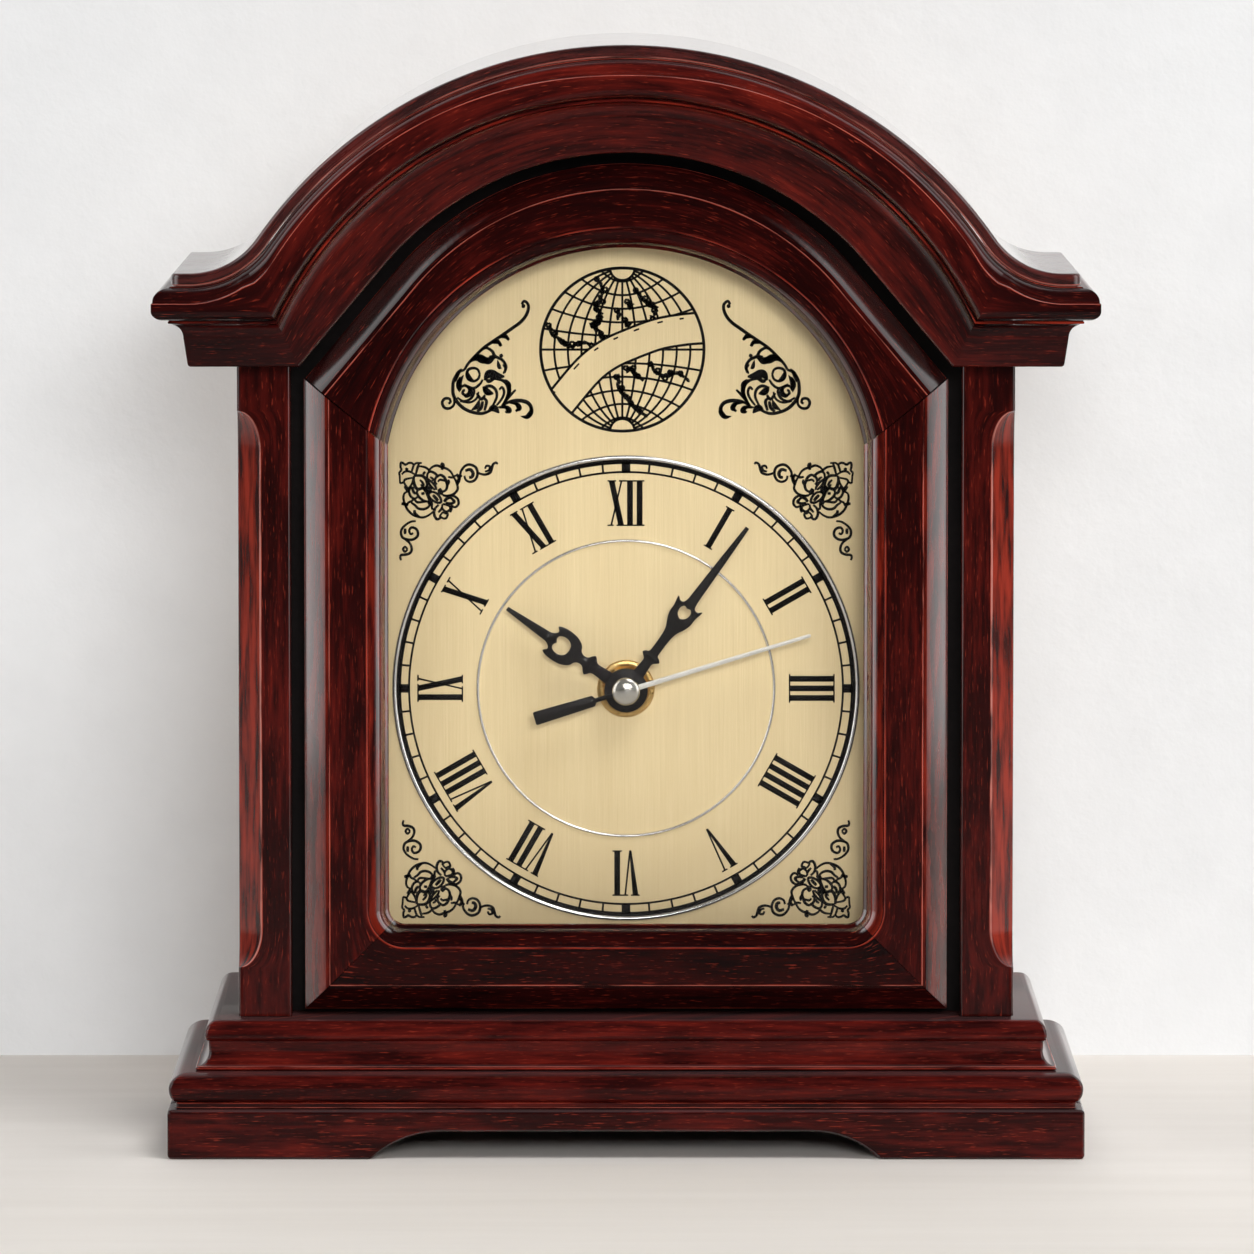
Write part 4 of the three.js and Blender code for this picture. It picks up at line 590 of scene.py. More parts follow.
def gridFaces(rows, cols):  # quads of a grid of points, row by row
    row, col = np.meshgrid(np.arange(rows - 1), np.arange(cols - 1), indexing="ij")
    first = row * cols + col
    return np.stack([first, first + 1, first + cols + 1, first + cols], axis=-1).reshape(-1, 4).tolist()


def tubeFaces(rows, cols):  # the same where each row is a closed ring, with a cap on the first and the last
    last = (rows - 1) * cols
    return gridFaces(rows, cols) + [list(range(cols - 1)), list(range(last, last + cols - 1))]


def turnWeights(outline):  # how sharply a closed section turns outwards at each point, from 0 to 1
    before = outline - np.roll(outline, 1, axis=0)
    after = np.roll(outline, -1, axis=0) - outline
    cross = before[:, 0] * after[:, 1] - before[:, 1] * after[:, 0]
    turn = np.arctan2(cross, (before * after).sum(axis=1))
    return np.clip((np.degrees(turn) * np.sign(turn.sum()) - wearAndGlintSize["from"]) / wearAndGlintSize["over"], 0, 1)


def fillSection(rings, outline, step):  # points added between the section's points, no further apart than step
    reach = wearAndGlintSize["reach"]
    following = np.roll(outline, -1, axis=0)
    lengths = np.hypot(*(following - outline).T)
    counts = np.maximum(np.ceil(lengths / step).astype(int), 1)
    index = np.repeat(np.arange(len(outline)), counts)
    share = (np.arange(counts.sum()) - np.repeat(np.cumsum(counts) - counts, counts)) / counts[index]
    bend = np.flatnonzero(lengths > wearAndGlintSize["room"] * reach)  # points where the wear and painted highlight of each corner ends
    place = np.concatenate([index + share, bend + reach / lengths[bend], bend + 1 - reach / lengths[bend]])
    place = np.unique(np.round(place, 6))
    index = np.append(place.astype(int), 0)
    share = np.append(place - place.astype(int), 0.0)
    after = (index + 1) % len(outline)
    weights = turnWeights(outline)
    near = np.clip(1 - share * lengths[index] / reach, 0, 1) * weights[index]
    far = np.clip(1 - (1 - share) * lengths[index] / reach, 0, 1) * weights[after]
    across = (np.cumsum(lengths) - lengths)[index] + share * lengths[index]
    across[-1] = lengths.sum()
    filled = rings[:, index] * (1 - share)[None, :, None] + rings[:, after] * share[None, :, None]
    return filled, across, np.maximum(near, far)


def carried(name, rings, outline, along=None, step=sectionStep, rubbedAndLit=None, wearAndGlint=1.0, shade=None):
    # a closed section carried along a path: point(i, j) = section point j at station i
    # rubbed gives each point a wear with painted highlights and light, and shade a lighter or darker tone, which on the
    # frame is painted shade
    filled, across, edge = fillSection(rings, outline, step)
    rows, cols = filled.shape[:2]
    edge = np.tile(edge * wearAndGlint, (rows, 1))
    if rubbedAndLit is not None:
        edge = np.maximum(edge, rubbedAndLit(filled))
    if along is None:
        along = travelled(rings.mean(axis=1))[:, None]
    uv = asPoints(along, across[None, :]).reshape(-1, 2)
    tone = None if shade is None else shade(filled).ravel()
    return surface(name, filled.reshape(-1, 3), tubeFaces(rows, cols), uv, edge.ravel(), tone)


def turned(name, profile, centre, segments=96, axes=(0, 1, 2)):
    # a profile of radius and y turned about the axis through centre: x = r sin a, z = r cos a; axes swaps x and y
    angle = np.linspace(0, 2 * math.pi, segments + 1)
    radius, depth = (column[:, None] for column in np.array(profile).T)
    points = asPoints(centre[0] + radius * np.sin(angle), depth, centre[1] + radius * np.cos(angle))[..., axes]
    uv = asPoints(radius + depth, angle * radius.max())
    return surface(name, points.reshape(-1, 3), gridFaces(*points.shape[:2]), uv.reshape(-1, 2))


def quarter(steps, start=0.0, end=90.0):
    return np.radians(np.linspace(start, end, steps))


def eased(corners, reach, steps=4):  # every corner of a row of outlines rounded by a quadratic curve
    before = np.roll(corners, 1, axis=1) - corners
    after = np.roll(corners, -1, axis=1) - corners
    near, far = (np.linalg.norm(way, axis=2, keepdims=True) for way in (before, after))
    start = corners + before / near * np.minimum(reach, near / 3)
    stop = corners + after / far * np.minimum(reach, far / 3)
    t = np.linspace(0, 1, steps)[None, None, :, None]
    curve = (1 - t) ** 2 * start[:, :, None] + 2 * t * (1 - t) * corners[:, :, None] + t ** 2 * stop[:, :, None]
    return curve.reshape(len(corners), -1, 2)


# base: two moulded boards and the plinth

baseSize = {
    "plinthTop": cadBox("plinth_front")[1][2],
    "plinthHalf": cadBox("plinth_front")[1][0],
    "plinthFront": cadBox("plinth_front")[0][1],
    "plinthRail": 14.0,
    "footWidth": 123.0,
    "footHeight": 6.75,
    "footRadius": 24.0,
    "lowerOut": 16.4,
    "lowerFillet": (1.5, 1.65),  # height and setback
    "lowerRound": (4.6, 3.6, 1.8),  # depth and height above the crest, depth below it
    "lowerArris": 0.2,
    "lowerShade": 0.02,
    "upperOut": 10.2,
    "upperNose": 8.0,
    "upperNeck": 7.0,
    "upperBead": (2.8, 3.8, 1.3),  # depth and height above the crest, height below it
    "upperNeckDrop": 7.4,
    "upperLip": 0.9,
    "upperTip": (0.45, 0.25),  # round under the lip, step from the lip to the cove
    "upperShade": 0.045,
    "backOut": 2.0,
    "boardStep": 3.0,
    "cornerRound": 1.0,
    "arris": (1.0, 3),  # width and segments
}


def lowerBoardEdge():  # upright fillet, a short under-round, then a wide upper round
    low, high = (corner[2] for corner in cadBox("base_lower_board"))
    height, setback = baseSize["lowerFillet"]
    wide, rise, under = baseSize["lowerRound"]
    out, arris = baseSize["lowerOut"], baseSize["lowerArris"]
    crest, upright = high - rise, out - setback
    turn = quarter(12)
    fillet = [[upright - arris, low], [upright, low + arris], [upright, low + height - arris]]
    below = asPoints(out - under * (1 - np.sin(turn)), crest - (crest - low - height) * np.cos(turn))
    turn = quarter(16)[1:]
    above = asPoints(out - wide * (1 - np.cos(turn)), crest + rise * np.sin(turn))
    return np.concatenate([fillet, below, above])


def upperBoardEdge():  # lip, cove up to a hollow neck, then a bead with a long upper round
    low, high = (corner[2] for corner in cadBox("base_upper_board"))
    out, nose, neck = (baseSize[key] for key in ("upperOut", "upperNose", "upperNeck"))
    wide, rise, under = baseSize["upperBead"]
    tip, step = baseSize["upperTip"]
    lip, coveTop = low + baseSize["upperLip"], high - baseSize["upperNeckDrop"]
    crest = high - rise
    turn = quarter(7)
    foot = asPoints(out - tip * (1 - np.sin(turn)), low + tip * (1 - np.cos(turn)))
    turn = quarter(14)
    cove = asPoints(neck + (out - step - neck) * (1 - np.sin(turn)), coveTop - (coveTop - lip) * np.cos(turn))
    turn = quarter(9, 10, 90)
    below = asPoints(nose - (nose - neck) * (1 - np.sin(turn)), crest - under * np.cos(turn))
    turn = quarter(14)[1:]
    above = asPoints(nose - wide * (1 - np.cos(turn)), crest + rise * np.sin(turn))
    return np.concatenate([foot, cove, below, above])


def mouldedBoard(name, profile, shade):
    # profile of projection and height carried round the case: each height has one rounded rectangle
    closed = np.concatenate([profile, [[0, profile[-1, 1]], [0, profile[0, 1]]]])
    filled, along, weights = fillSection(closed[None], closed, baseSize["boardStep"])
    kept = along <= travelled(profile)[-1] + 1e-6
    out, level = filled[0, kept].T
    weights = weights[kept]
    weights[[0, -1]] = 0
    half, front = (caseSize["half"] + out)[:, None], (caseSize["front"] - out)[:, None]
    back = (caseSize["back"] + np.minimum(out, baseSize["backOut"]))[:, None]
    arc = quarter(6)
    dx, dy = (baseSize["cornerRound"] * (1 - wave(arc)) for wave in (np.sin, np.cos))
    x = np.concatenate([0 * half, half - dx, half - dx[::-1], -half + dx, -half + dx[::-1], 0 * half], axis=1)
    y = np.concatenate([back, back - dy, front + dy[::-1], front + dy, back - dy[::-1], back], axis=1)
    rows, cols = x.shape
    points = asPoints(x, y, level[:, None]).reshape(-1, 3)
    around, up = travelled(asPoints(x[0], y[0])), travelled(asPoints(out, level))
    uv = asPoints(around[None, :], up[:, None]).reshape(-1, 2)
    tone = np.full(rows * cols, shade)
    return surface(name, points, tubeFaces(rows, cols), uv, np.repeat(weights, cols), tone)


def plinthRail(name, outline, near, far):  # an outline in x and z from near to far, with rounded arrises
    count = len(outline)
    points = np.concatenate([np.insert(outline, 1, depth, axis=1) for depth in (near, far)])
    first = np.arange(count)
    after = (first + 1) % count
    sides = asPoints(first, after, after + count, first + count).tolist()
    piece = surface(name, points, sides + [list(range(count)), list(range(count, 2 * count))])
    width, segments = baseSize["arris"]
    bevel = piece.modifiers.new("arris", "BEVEL")
    bevel.width, bevel.segments, bevel.limit_method = width * mm, segments, "ANGLE"
    bevel.harden_normals = True
    return piece


def buildBase():
    lacquered(mouldedBoard("baseLowerBoard", lowerBoardEdge(), baseSize["lowerShade"]), "base_lower_board")
    lacquered(mouldedBoard("baseUpperBoard", upperBoardEdge(), baseSize["upperShade"]), "base_upper_board")
    half, top, rise, radius = (baseSize[key] for key in ("plinthHalf", "plinthTop", "footHeight", "footRadius"))
    run = math.sqrt(2 * radius * rise - rise ** 2)
    flat = baseSize["footWidth"] / 2 - run
    turn = np.linspace(math.asin(run / radius), 0, 12)
    arc = asPoints(-flat - radius * np.sin(turn), rise - radius * (1 - np.cos(turn)))
    foot = np.concatenate([arc, arc[::-1] * [-1, 1]])
    outline = np.concatenate([[[-half, 0]], foot, [[half, 0], [half, top], [-half, top]]])
    front, rail = baseSize["plinthFront"], baseSize["plinthRail"]
    lacquered(plinthRail("plinthFront", outline, front, front + rail), "plinth_front", finish="lacquerX")
    for side, finish in (("Back", "lacquerX"), ("Left", "lacquerY"), ("Right", "lacquerY")):
        node = f"plinth_{side.lower()}"
        (x0, y0, z0), (x1, y1, z1) = cadBox(node)
        box = np.array([[x0, z0], [x1, z0], [x1, z1], [x0, z1]])
        lacquered(plinthRail(f"plinth{side}", box, y0, y1), node, finish=finish)


buildBase()
print("base built")


# front posts

postSize = {
    "inner": cadBox("stile_right")[0][0],
    "rear": cadBox("stile_right")[1][1],
    "low": cadBox("stile_right")[0][2],
    "high": cadBox("stile_right")[1][2],
    "chamfer": 5.6,
    "lowStop": 44.7,
    "highStop": 180.2,
    "runOut": 9.3,
    "runStations": (22, 1.6),  # number, and how much they crowd towards the stop
    "evenStations": (12, 12),  # distance from the stops, and number
    "arris": 0.5,
    "edgeRound": 0.35,
    "rubbedAndLit": 0.42,
    "rubbedAndGlintEdge": 0.8,
    "rubbedAndLitReach": (0.1, 0.3),  # mm from the cut and from its front edge
    "rubbedAndLitFrom": 1.0,  # least cut that is rubbed and given painted light
}


def frontPost(side):
    # a post whose outer corner is cut by c(z) = chamfer sqrt(1 - (1 - s)^2), s rising from 0 to 1 over each run-out
    size = postSize
    low, high, arris = size["lowStop"], size["highStop"], size["arris"]
    (steps, crowd), (past, count) = size["runStations"], size["evenStations"]
    run = size["runOut"] * np.linspace(0, 1, steps) ** crowd
    even = np.linspace(low + past, high - past, count)
    stations = np.array([size["low"], *(low + run), *even, *(high - run)[::-1], size["high"]])
    share = np.clip(np.minimum(stations - low, high - stations) / size["runOut"], 0, 1)
    cut = np.maximum(size["chamfer"] * np.sqrt(1 - (1 - share) ** 2), arris)
    outer, front, inner, rear = caseSize["half"], caseSize["front"], size["inner"], size["rear"]
    corners = (
        (inner, rear), (inner, front + arris), (inner + arris, front),
        (outer - cut, front), (outer, front + cut), (outer, rear),
    )
    outline = eased(np.stack([asPoints(x + 0 * cut, y + 0 * cut) for x, y in corners], axis=1), size["edgeRound"])
    rings = np.insert(outline, 2, stations[:, None], axis=2)
    rings[..., 0] *= side
    label = "Left" if side < 0 else "Right"

    def rubbedAndLitCut(points):  # wear with painted light on the cut, and a painted highlight most of all along its front edge
        x, y, depth = points[..., 0] * side - outer, points[..., 1] - front, cut[:, None]
        onCut, onEdge = size["rubbedAndLitReach"]
        onCut = (np.abs(x - y + depth) < onCut) & (depth > size["rubbedAndLitFrom"])
        onEdge = (np.abs(x + depth) < onEdge) & (y < onEdge) & (depth > size["rubbedAndLitFrom"])
        return np.where(onEdge, size["rubbedAndGlintEdge"], size["rubbedAndLit"] * onCut)

    middle = outline[len(outline) // 2] * [side, 1]
    piece = carried(f"post{label}", rings, middle, along=stations[:, None], rubbedAndLit=rubbedAndLitCut)
    piece.visible_glossy = False  # the cards show in the whole bead of the frame
    return lacquered(piece, f"stile_{label.lower()}")


frontPost(-1)
frontPost(1)
print("posts built")


# crown: roof sheet and two mouldings that follow the arch into the ears

crownSize = {
    "apex": caseSize["apex"],
    "roofRadius": 108.0,
    "ogeeRadius": 20.0,
    "earTop": 214.2,
    "roofThickness": 3.0,
    "roofOut": 15.2,
    "roofRound": 1.1,
    "roofCorner": 2.6,
    "roofTip": 0.9,
    "roofArris": 0.3,
    "roofSteps": (241, 4.0),  # stations from side to side, mm between points of the section
    "polishedFrom": 7.0,  # height above the ears where the roof keeps its polish
    "seamApex": 256.3,
    "seamRadius": 93.0,
    "innerApex": 243.0,
    "innerRadius": 76.0,
    "haunch": 50.0,  # degrees from the apex where the inner arc runs straight
    "noseOut": 19.8,
    "noseLip": 15.6,
    "noseArris": 0.2,
    "noseRows": (0.2, 0.4, 0.7, 1.0),  # shares of the level top
    "noseCrest": 3.5,
    "noseRound": (0.9, 0.1, 0.45),  # share of the crest, start past the lip, end short of the front
    "noseStep": (0.3, 0.35, 0.5),  # start below the crest, depth, end below the crest
    "noseUnder": (3.2, 2.3),  # depth and height
    "coveOut": 15.9,
    "coveFillet": 0.7,
    "coveArris": (0.25, 0.15),  # above and below the fillet
    "bandTop": 12.3,
    "bandFoot": 11.4,
    "bandDrop": 4.4,
    "bandEase": 0.9,
    "shade": ((30, 70, 95), (0.06, 0.02, -0.08)),  # distance from the middle, and a shift of the tone: lighter at the top of the arch, darker towards the ears
    # edge marks on the mouldings: wear, with painted highlights
    "noseWearAndGlint": 0.85,
    "coveWearAndGlint": 0.5,
    "earRun": 7.0,
    "archSteps": 60,
    "earSteps": 22,
    "returnSteps": 6,
}
crownSize["ogeeLevel"] = crownSize["earTop"] + crownSize["ogeeRadius"]
crownSize["roofCentre"] = crownSize["apex"] - crownSize["roofRadius"]
crownSize["ogeeX"] = math.sqrt(
    (crownSize["roofRadius"] + crownSize["ogeeRadius"]) ** 2 - (crownSize["ogeeLevel"] - crownSize["roofCentre"]) ** 2)


def roofHeight(x, offset):  # arc, then reversed arc, then level ear, all moved inwards by the offset
    size = crownSize
    reach = np.abs(x)
    radius, ogee = size["roofRadius"] - offset, size["ogeeRadius"] + offset
    split = radius * size["ogeeX"] / (size["roofRadius"] + size["ogeeRadius"])
    arc = size["roofCentre"] + np.sqrt(np.maximum(radius ** 2 - reach ** 2, 0))
    turn = size["ogeeLevel"] - np.sqrt(np.maximum(ogee ** 2 - (size["ogeeX"] - reach) ** 2, 0))
    return np.where(reach <= split, arc, np.where(reach >= size["ogeeX"], size["earTop"] - offset, turn))


def archPoint(apex, radius, turn):
    return asPoints(radius * np.sin(turn), apex - radius * (1 - np.cos(turn)))


def haunchedArch(apex, radius, level, share):  # an arc from the apex that runs straight past the haunch
    limit = math.radians(crownSize["haunch"])
    startZ = archPoint(apex, radius, limit)[1]
    arcLength = radius * limit
    travel = share * (arcLength + (startZ - level) / math.sin(limit))
    past = np.maximum(travel - arcLength, 0)[..., None]
    curve = archPoint(apex, radius, np.minimum(travel, arcLength) / radius)
    return curve + past * [math.cos(limit), -math.sin(limit)]


def seamPoint(share):
    drop = (crownSize["seamApex"] - caseSize["crownSeam"]) / crownSize["seamRadius"]
    return archPoint(crownSize["seamApex"], crownSize["seamRadius"], share * math.acos(1 - drop))


def closedBehind(back, *rows):  # the rows of a section with its back closed at this projection
    depths = [back, 0] if back < 0 else [back]
    return np.concatenate([[[0, 0, depth] for depth in depths], *rows, [[1, 0, depth] for depth in depths[::-1]]])


def noseSection(back):  # rows: upper or lower edge, inset from it, projection from the case
    size = crownSize
    lip, out, crest, arris = (size[key] for key in ("noseLip", "noseOut", "noseCrest", "noseArris"))
    level = size["ogeeX"] - caseSize["half"]
    top = [[0, 0, share * level] for share in size["noseRows"]] + [[0, 0, lip - arris], [0, arris, lip]]
    turn = quarter(16)
    share, near, far = size["noseRound"]
    bull = asPoints(0, crest * (1 - share * np.cos(turn)), lip + near + (out - lip - far) * np.sin(turn))
    start, depth, end = size["noseStep"]
    face = [[0, crest + start, out - depth], [0, crest + end, out]]
    under, rise = size["noseUnder"]
    below = asPoints(1, rise * (1 - np.sin(turn)), out - under * (1 - np.cos(turn)))
    return closedBehind(back, top, bull, face, below)


def coveSection(back):  # an upright fillet, a hollow, then a band that leans back to an eased foot
    size = crownSize
    out, top, foot, fillet, drop = (size[key] for key in ("coveOut", "bandTop", "bandFoot", "coveFillet", "bandDrop"))
    above, below = size["coveArris"]
    upright = [[0, 0, out - above], [0, above, out], [0, fillet - below, out]]
    turn = quarter(14)
    inset = fillet + (drop - fillet) * (1 - np.cos(turn))
    hollow = asPoints(0, inset, top + (out - below - top) * (1 - np.sin(turn)))
    turn = quarter(6)
    ease = size["bandEase"]
    low = asPoints(1, ease * (1 - np.sin(turn)), foot - ease * (1 - np.cos(turn)))
    return closedBehind(back, upright, hollow, low)


def crownFront(name, section, upper, lower, earUpper, earLower, wearAndGlint):
    # a section carried along the arch, then level along the ears to 45 degree mitres at both ends
    edge, inset, out = section.T
    span = lower - upper
    length = np.hypot(*span.T)[:, None]
    share = np.where(edge == 0, inset / length, 1 - inset / length)
    flat = upper[:, None] + span[:, None] * share[..., None]
    depth = caseSize["front"] - out
    arch = asPoints(flat[..., 0], depth, flat[..., 1])
    run = np.linspace(0, 1, crownSize["earSteps"] + 1)[1:, None]
    start = np.where(edge == 0, upper[-1, 0], lower[-1, 0])
    x = start + (caseSize["half"] + np.maximum(out, 0) - caseSize["joint"] - start) * run
    ear = asPoints(x, depth, np.where(edge == 0, earUpper(x) - inset, earLower + inset))
    right = np.concatenate([arch, ear])
    rings = np.concatenate([right[:0:-1] * [-1, 1, 1], right])
    middle = rings[len(rings) // 2]
    shade = lambda points: np.interp(np.abs(points[..., 0]), *crownSize["shade"])
    return carried(name, rings, asPoints(-middle[:, 1], middle[:, 2]), wearAndGlint=wearAndGlint, shade=shade)


def crownReturn(name, side, section, earUpper, earLower, wearAndGlint):  # the same section along the side of the case
    edge, inset, out = section.T
    x = caseSize["half"] + out
    z = np.where(edge == 0, earUpper(x) - inset, earLower + inset)
    outline = asPoints(out, z)
    front = caseSize["front"] - out + caseSize["joint"]
    y = front + (caseSize["back"] - front) * np.linspace(0, 1, crownSize["returnSteps"])[:, None]
    rings = asPoints(side * x, y, z)
    filledY = fillSection(rings, outline, sectionStep)[0][..., 1]
    return carried(name, rings, outline, along=filledY, wearAndGlint=wearAndGlint)


def roofSheet():  # a bent sheet with a rounded front edge: section of inset and y at each x, drawn in at the ends
    size = crownSize
    thick, ease, plan, tip, arris = (
        size[key] for key in ("roofThickness", "roofRound", "roofCorner", "roofTip", "roofArris"))
    stations, step = size["roofSteps"]
    turn = quarter(8)
    front, back = caseSize["front"] - size["roofOut"], caseSize["back"]
    nose = asPoints(ease * (1 - np.cos(turn)), front + ease * (1 - np.sin(turn)))
    under = [[thick - arris, front], [thick, front + arris], [thick, back]]
    section = np.concatenate([[[0, back]], nose, under])
    end = caseSize["half"] + size["roofOut"]
    x = end * np.sin(np.linspace(-math.pi / 2, math.pi / 2, stations))
    inset, y = (column[None, :] for column in section.T)
    past = lambda radius: radius - np.sqrt(radius ** 2 - np.maximum(np.abs(x) - end + radius, 0)[:, None] ** 2)
    y = np.where(y < back, y + past(plan), y)
    inset = inset + past(tip) * (1 - 2 * inset / thick)
    rings = asPoints(x[:, None], y, roofHeight(x[:, None], inset))
    piece = carried("roofSheet", rings, section[:, ::-1] * [1, -1], step=step)
    middle, dusty = np.empty(3 * len(piece.data.polygons)), np.empty(len(piece.data.polygons))
    piece.data.polygons.foreach_get("center", middle)
    upward = piece.data.attributes["upward"].data
    upward.foreach_get("value", dusty)
    # the upward share carries dust and a painted sheen; it fades to none above the ears
    fade = 1 - np.clip((middle[2::3] / mm - size["earTop"]) / size["polishedFrom"], 0, 1)
    upward.foreach_set("value", dusty * fade)
    return piece


def buildCrown():
    size = crownSize
    joint, seamLevel, foot = caseSize["joint"], caseSize["crownSeam"], caseSize["crownFoot"]
    share = np.sin(np.linspace(0, math.pi / 2, size["archSteps"] + 1))
    noseTop = lambda x: roofHeight(x, size["roofThickness"] + joint)
    coveTop = lambda x: np.full_like(x, seamLevel - joint)
    seam = seamPoint(share)
    topX = (seam[-1, 0] + size["earRun"]) * share
    noseUpper = asPoints(topX, noseTop(topX))
    coveLower = haunchedArch(size["innerApex"], size["innerRadius"], foot, share)
    back = caseSize["front"] - postSize["rear"]
    noseEnds, coveEnds = (noseTop, seamLevel, size["noseWearAndGlint"]), (coveTop, foot, size["coveWearAndGlint"])
    lacquered(roofSheet(), "roof_panel", finish="lacquerRoof")
    nose = crownFront("crownNose", noseSection(back), noseUpper, seam, *noseEnds)
    cove = crownFront("crownCove", coveSection(back), seam - [0, joint], coveLower, *coveEnds)
    lacquered(nose, "crown_nose_front")
    lacquered(cove, "crown_cove_front")
    nose.visible_glossy = cove.visible_glossy = False  # the cards show in the frame's shoulders
    for label, side in (("Left", -1), ("Right", 1)):
        nose = crownReturn(f"crownNose{label}", side, noseSection(joint), *noseEnds)
        cove = crownReturn(f"crownCove{label}", side, coveSection(joint), *coveEnds)
        lacquered(nose, f"crown_nose_{label.lower()}")
        lacquered(cove, f"crown_cove_{label.lower()}")


buildCrown()
print("crown built")


# front frame: four mitred members round the glass

frameSize = {
    "half": 78.0,
    "width": 20.3,
    "bead": 6.0,
    "beadDrop": 4.2,
    "beadStep": 0.5,
    "beadBulge": 0.25,
    "beadFoot": ((-0.15, 0.45), (0.0, 0.1), (0.3, 0.0)),  # past the bead, behind the face
    "faceSetback": 0.6,
    "ovolo": 5.0,
    "ovoloDrop": 4.9,
    "ovoloStep": 0.7,
    "ovoloFillet": 0.8,
    "ovoloEase": (0.3, 0.15),  # across and behind the face
    "lipEase": (0.15, 0.25),
    "glassSetback": 8.3,
    "rebate": 3.4,
    "rear": cadBox("frame_left")[1][1] - caseSize["front"],
    "openingHalf": 57.7,
    "openingLow": 54.5,
    "openingCorner": 4.0,
    "openingRadius": 58.7,
    "openingApex": 219.4,
    "arcRadius": 72.8,
    "arcApex": 239.8,
    "archSteps": 49,
    "shoulder": 77.6,
    "rubbedAndLit": 0.22,
    "rubbedAndLitFrom": 0.3,  # behind the face
    # each member's wood made darker, the bottom rail and the arch most: painted shade
    "shade": {"Left": -0.01, "Right": -0.02, "Bottom": -0.10, "Arch": -0.05},
}


def frameSection():  # rows: outer or inner edge, inset from it, depth behind the face of the case
    size = frameSize
    face, bead, step, ovolo = (size[key] for key in ("faceSetback", "bead", "beadStep", "ovolo"))
    share = np.linspace(0, 1, 16)
    bulge = size["beadBulge"] * np.sqrt(np.sin(math.pi * share))
    run, fall = bead - step, size["beadDrop"] - step
    slant = math.hypot(run, fall)
    inset = np.maximum(run * share - bulge * fall / slant, 0)
    beadRound = asPoints(0, inset, face + step + fall * (1 - share) - bulge * run / slant)
    ease, lipDepth = size["ovoloEase"]
    flat = [[0, bead + past, face + behind] for past, behind in size["beadFoot"]]
    flat += [[1, ovolo + ease, face], [1, ovolo, face + lipDepth]]
    turn = quarter(14)
    wide, drop = ovolo - ease, size["ovoloDrop"] - size["ovoloStep"]
    inset = wide - (wide - size["ovoloFillet"]) * np.sin(turn)
    ovoloRound = asPoints(1, inset, face + size["ovoloStep"] + drop * (1 - np.cos(turn)))
    lip, (inner, before) = face + size["ovoloDrop"] + size["ovoloFillet"], size["lipEase"]
    glass, rebate, rear = size["glassSetback"], size["rebate"], size["rear"]
    inside = [[1, inner, lip - before], [1, 0, lip], [1, 0, glass], [1, rebate, glass], [1, rebate, rear]]
    return np.concatenate([[[0, 0, rear]], beadRound, flat, ovoloRound, inside])


def frameMember(side, outer, inner, outerStretch, innerStretch, along=None):
    # a section carried between an outer and an inner edge; stretch keeps the moulding's width along a mitre
    edge, inset, depth = frameSection().T
    span = inner - outer
    length = np.hypot(*span.T)[:, None]
    share = np.where(edge == 0, inset * outerStretch[:, None] / length, 1 - inset * innerStretch[:, None] / length)
    flat = outer[:, None] + span[:, None] * share[..., None]
    rings = asPoints(flat[..., 0], caseSize["front"] + depth, flat[..., 1])
    outline = asPoints(np.where(edge == 0, inset, frameSize["width"] - inset), -depth)
    upright = along == 2
    if along is not None:
        along = fillSection(rings, outline, sectionStep)[0][..., along]
    level = caseSize["front"] + frameSize["faceSetback"] + frameSize["rubbedAndLitFrom"]
    rubbedAndLitRounds = lambda points: frameSize["rubbedAndLit"] * (points[..., 1] > level) * upright  # the bead and the ovolo, lighter red: wear, and a painted tint under their highlights
    shade = lambda points: np.full(points.shape[:2], frameSize["shade"][side])
    piece = carried(f"frame{side}", rings, outline, along=along, rubbedAndLit=rubbedAndLitRounds, shade=shade)
    return lacquered(piece, f"frame_{side.lower()}", finish="lacquerFrame")


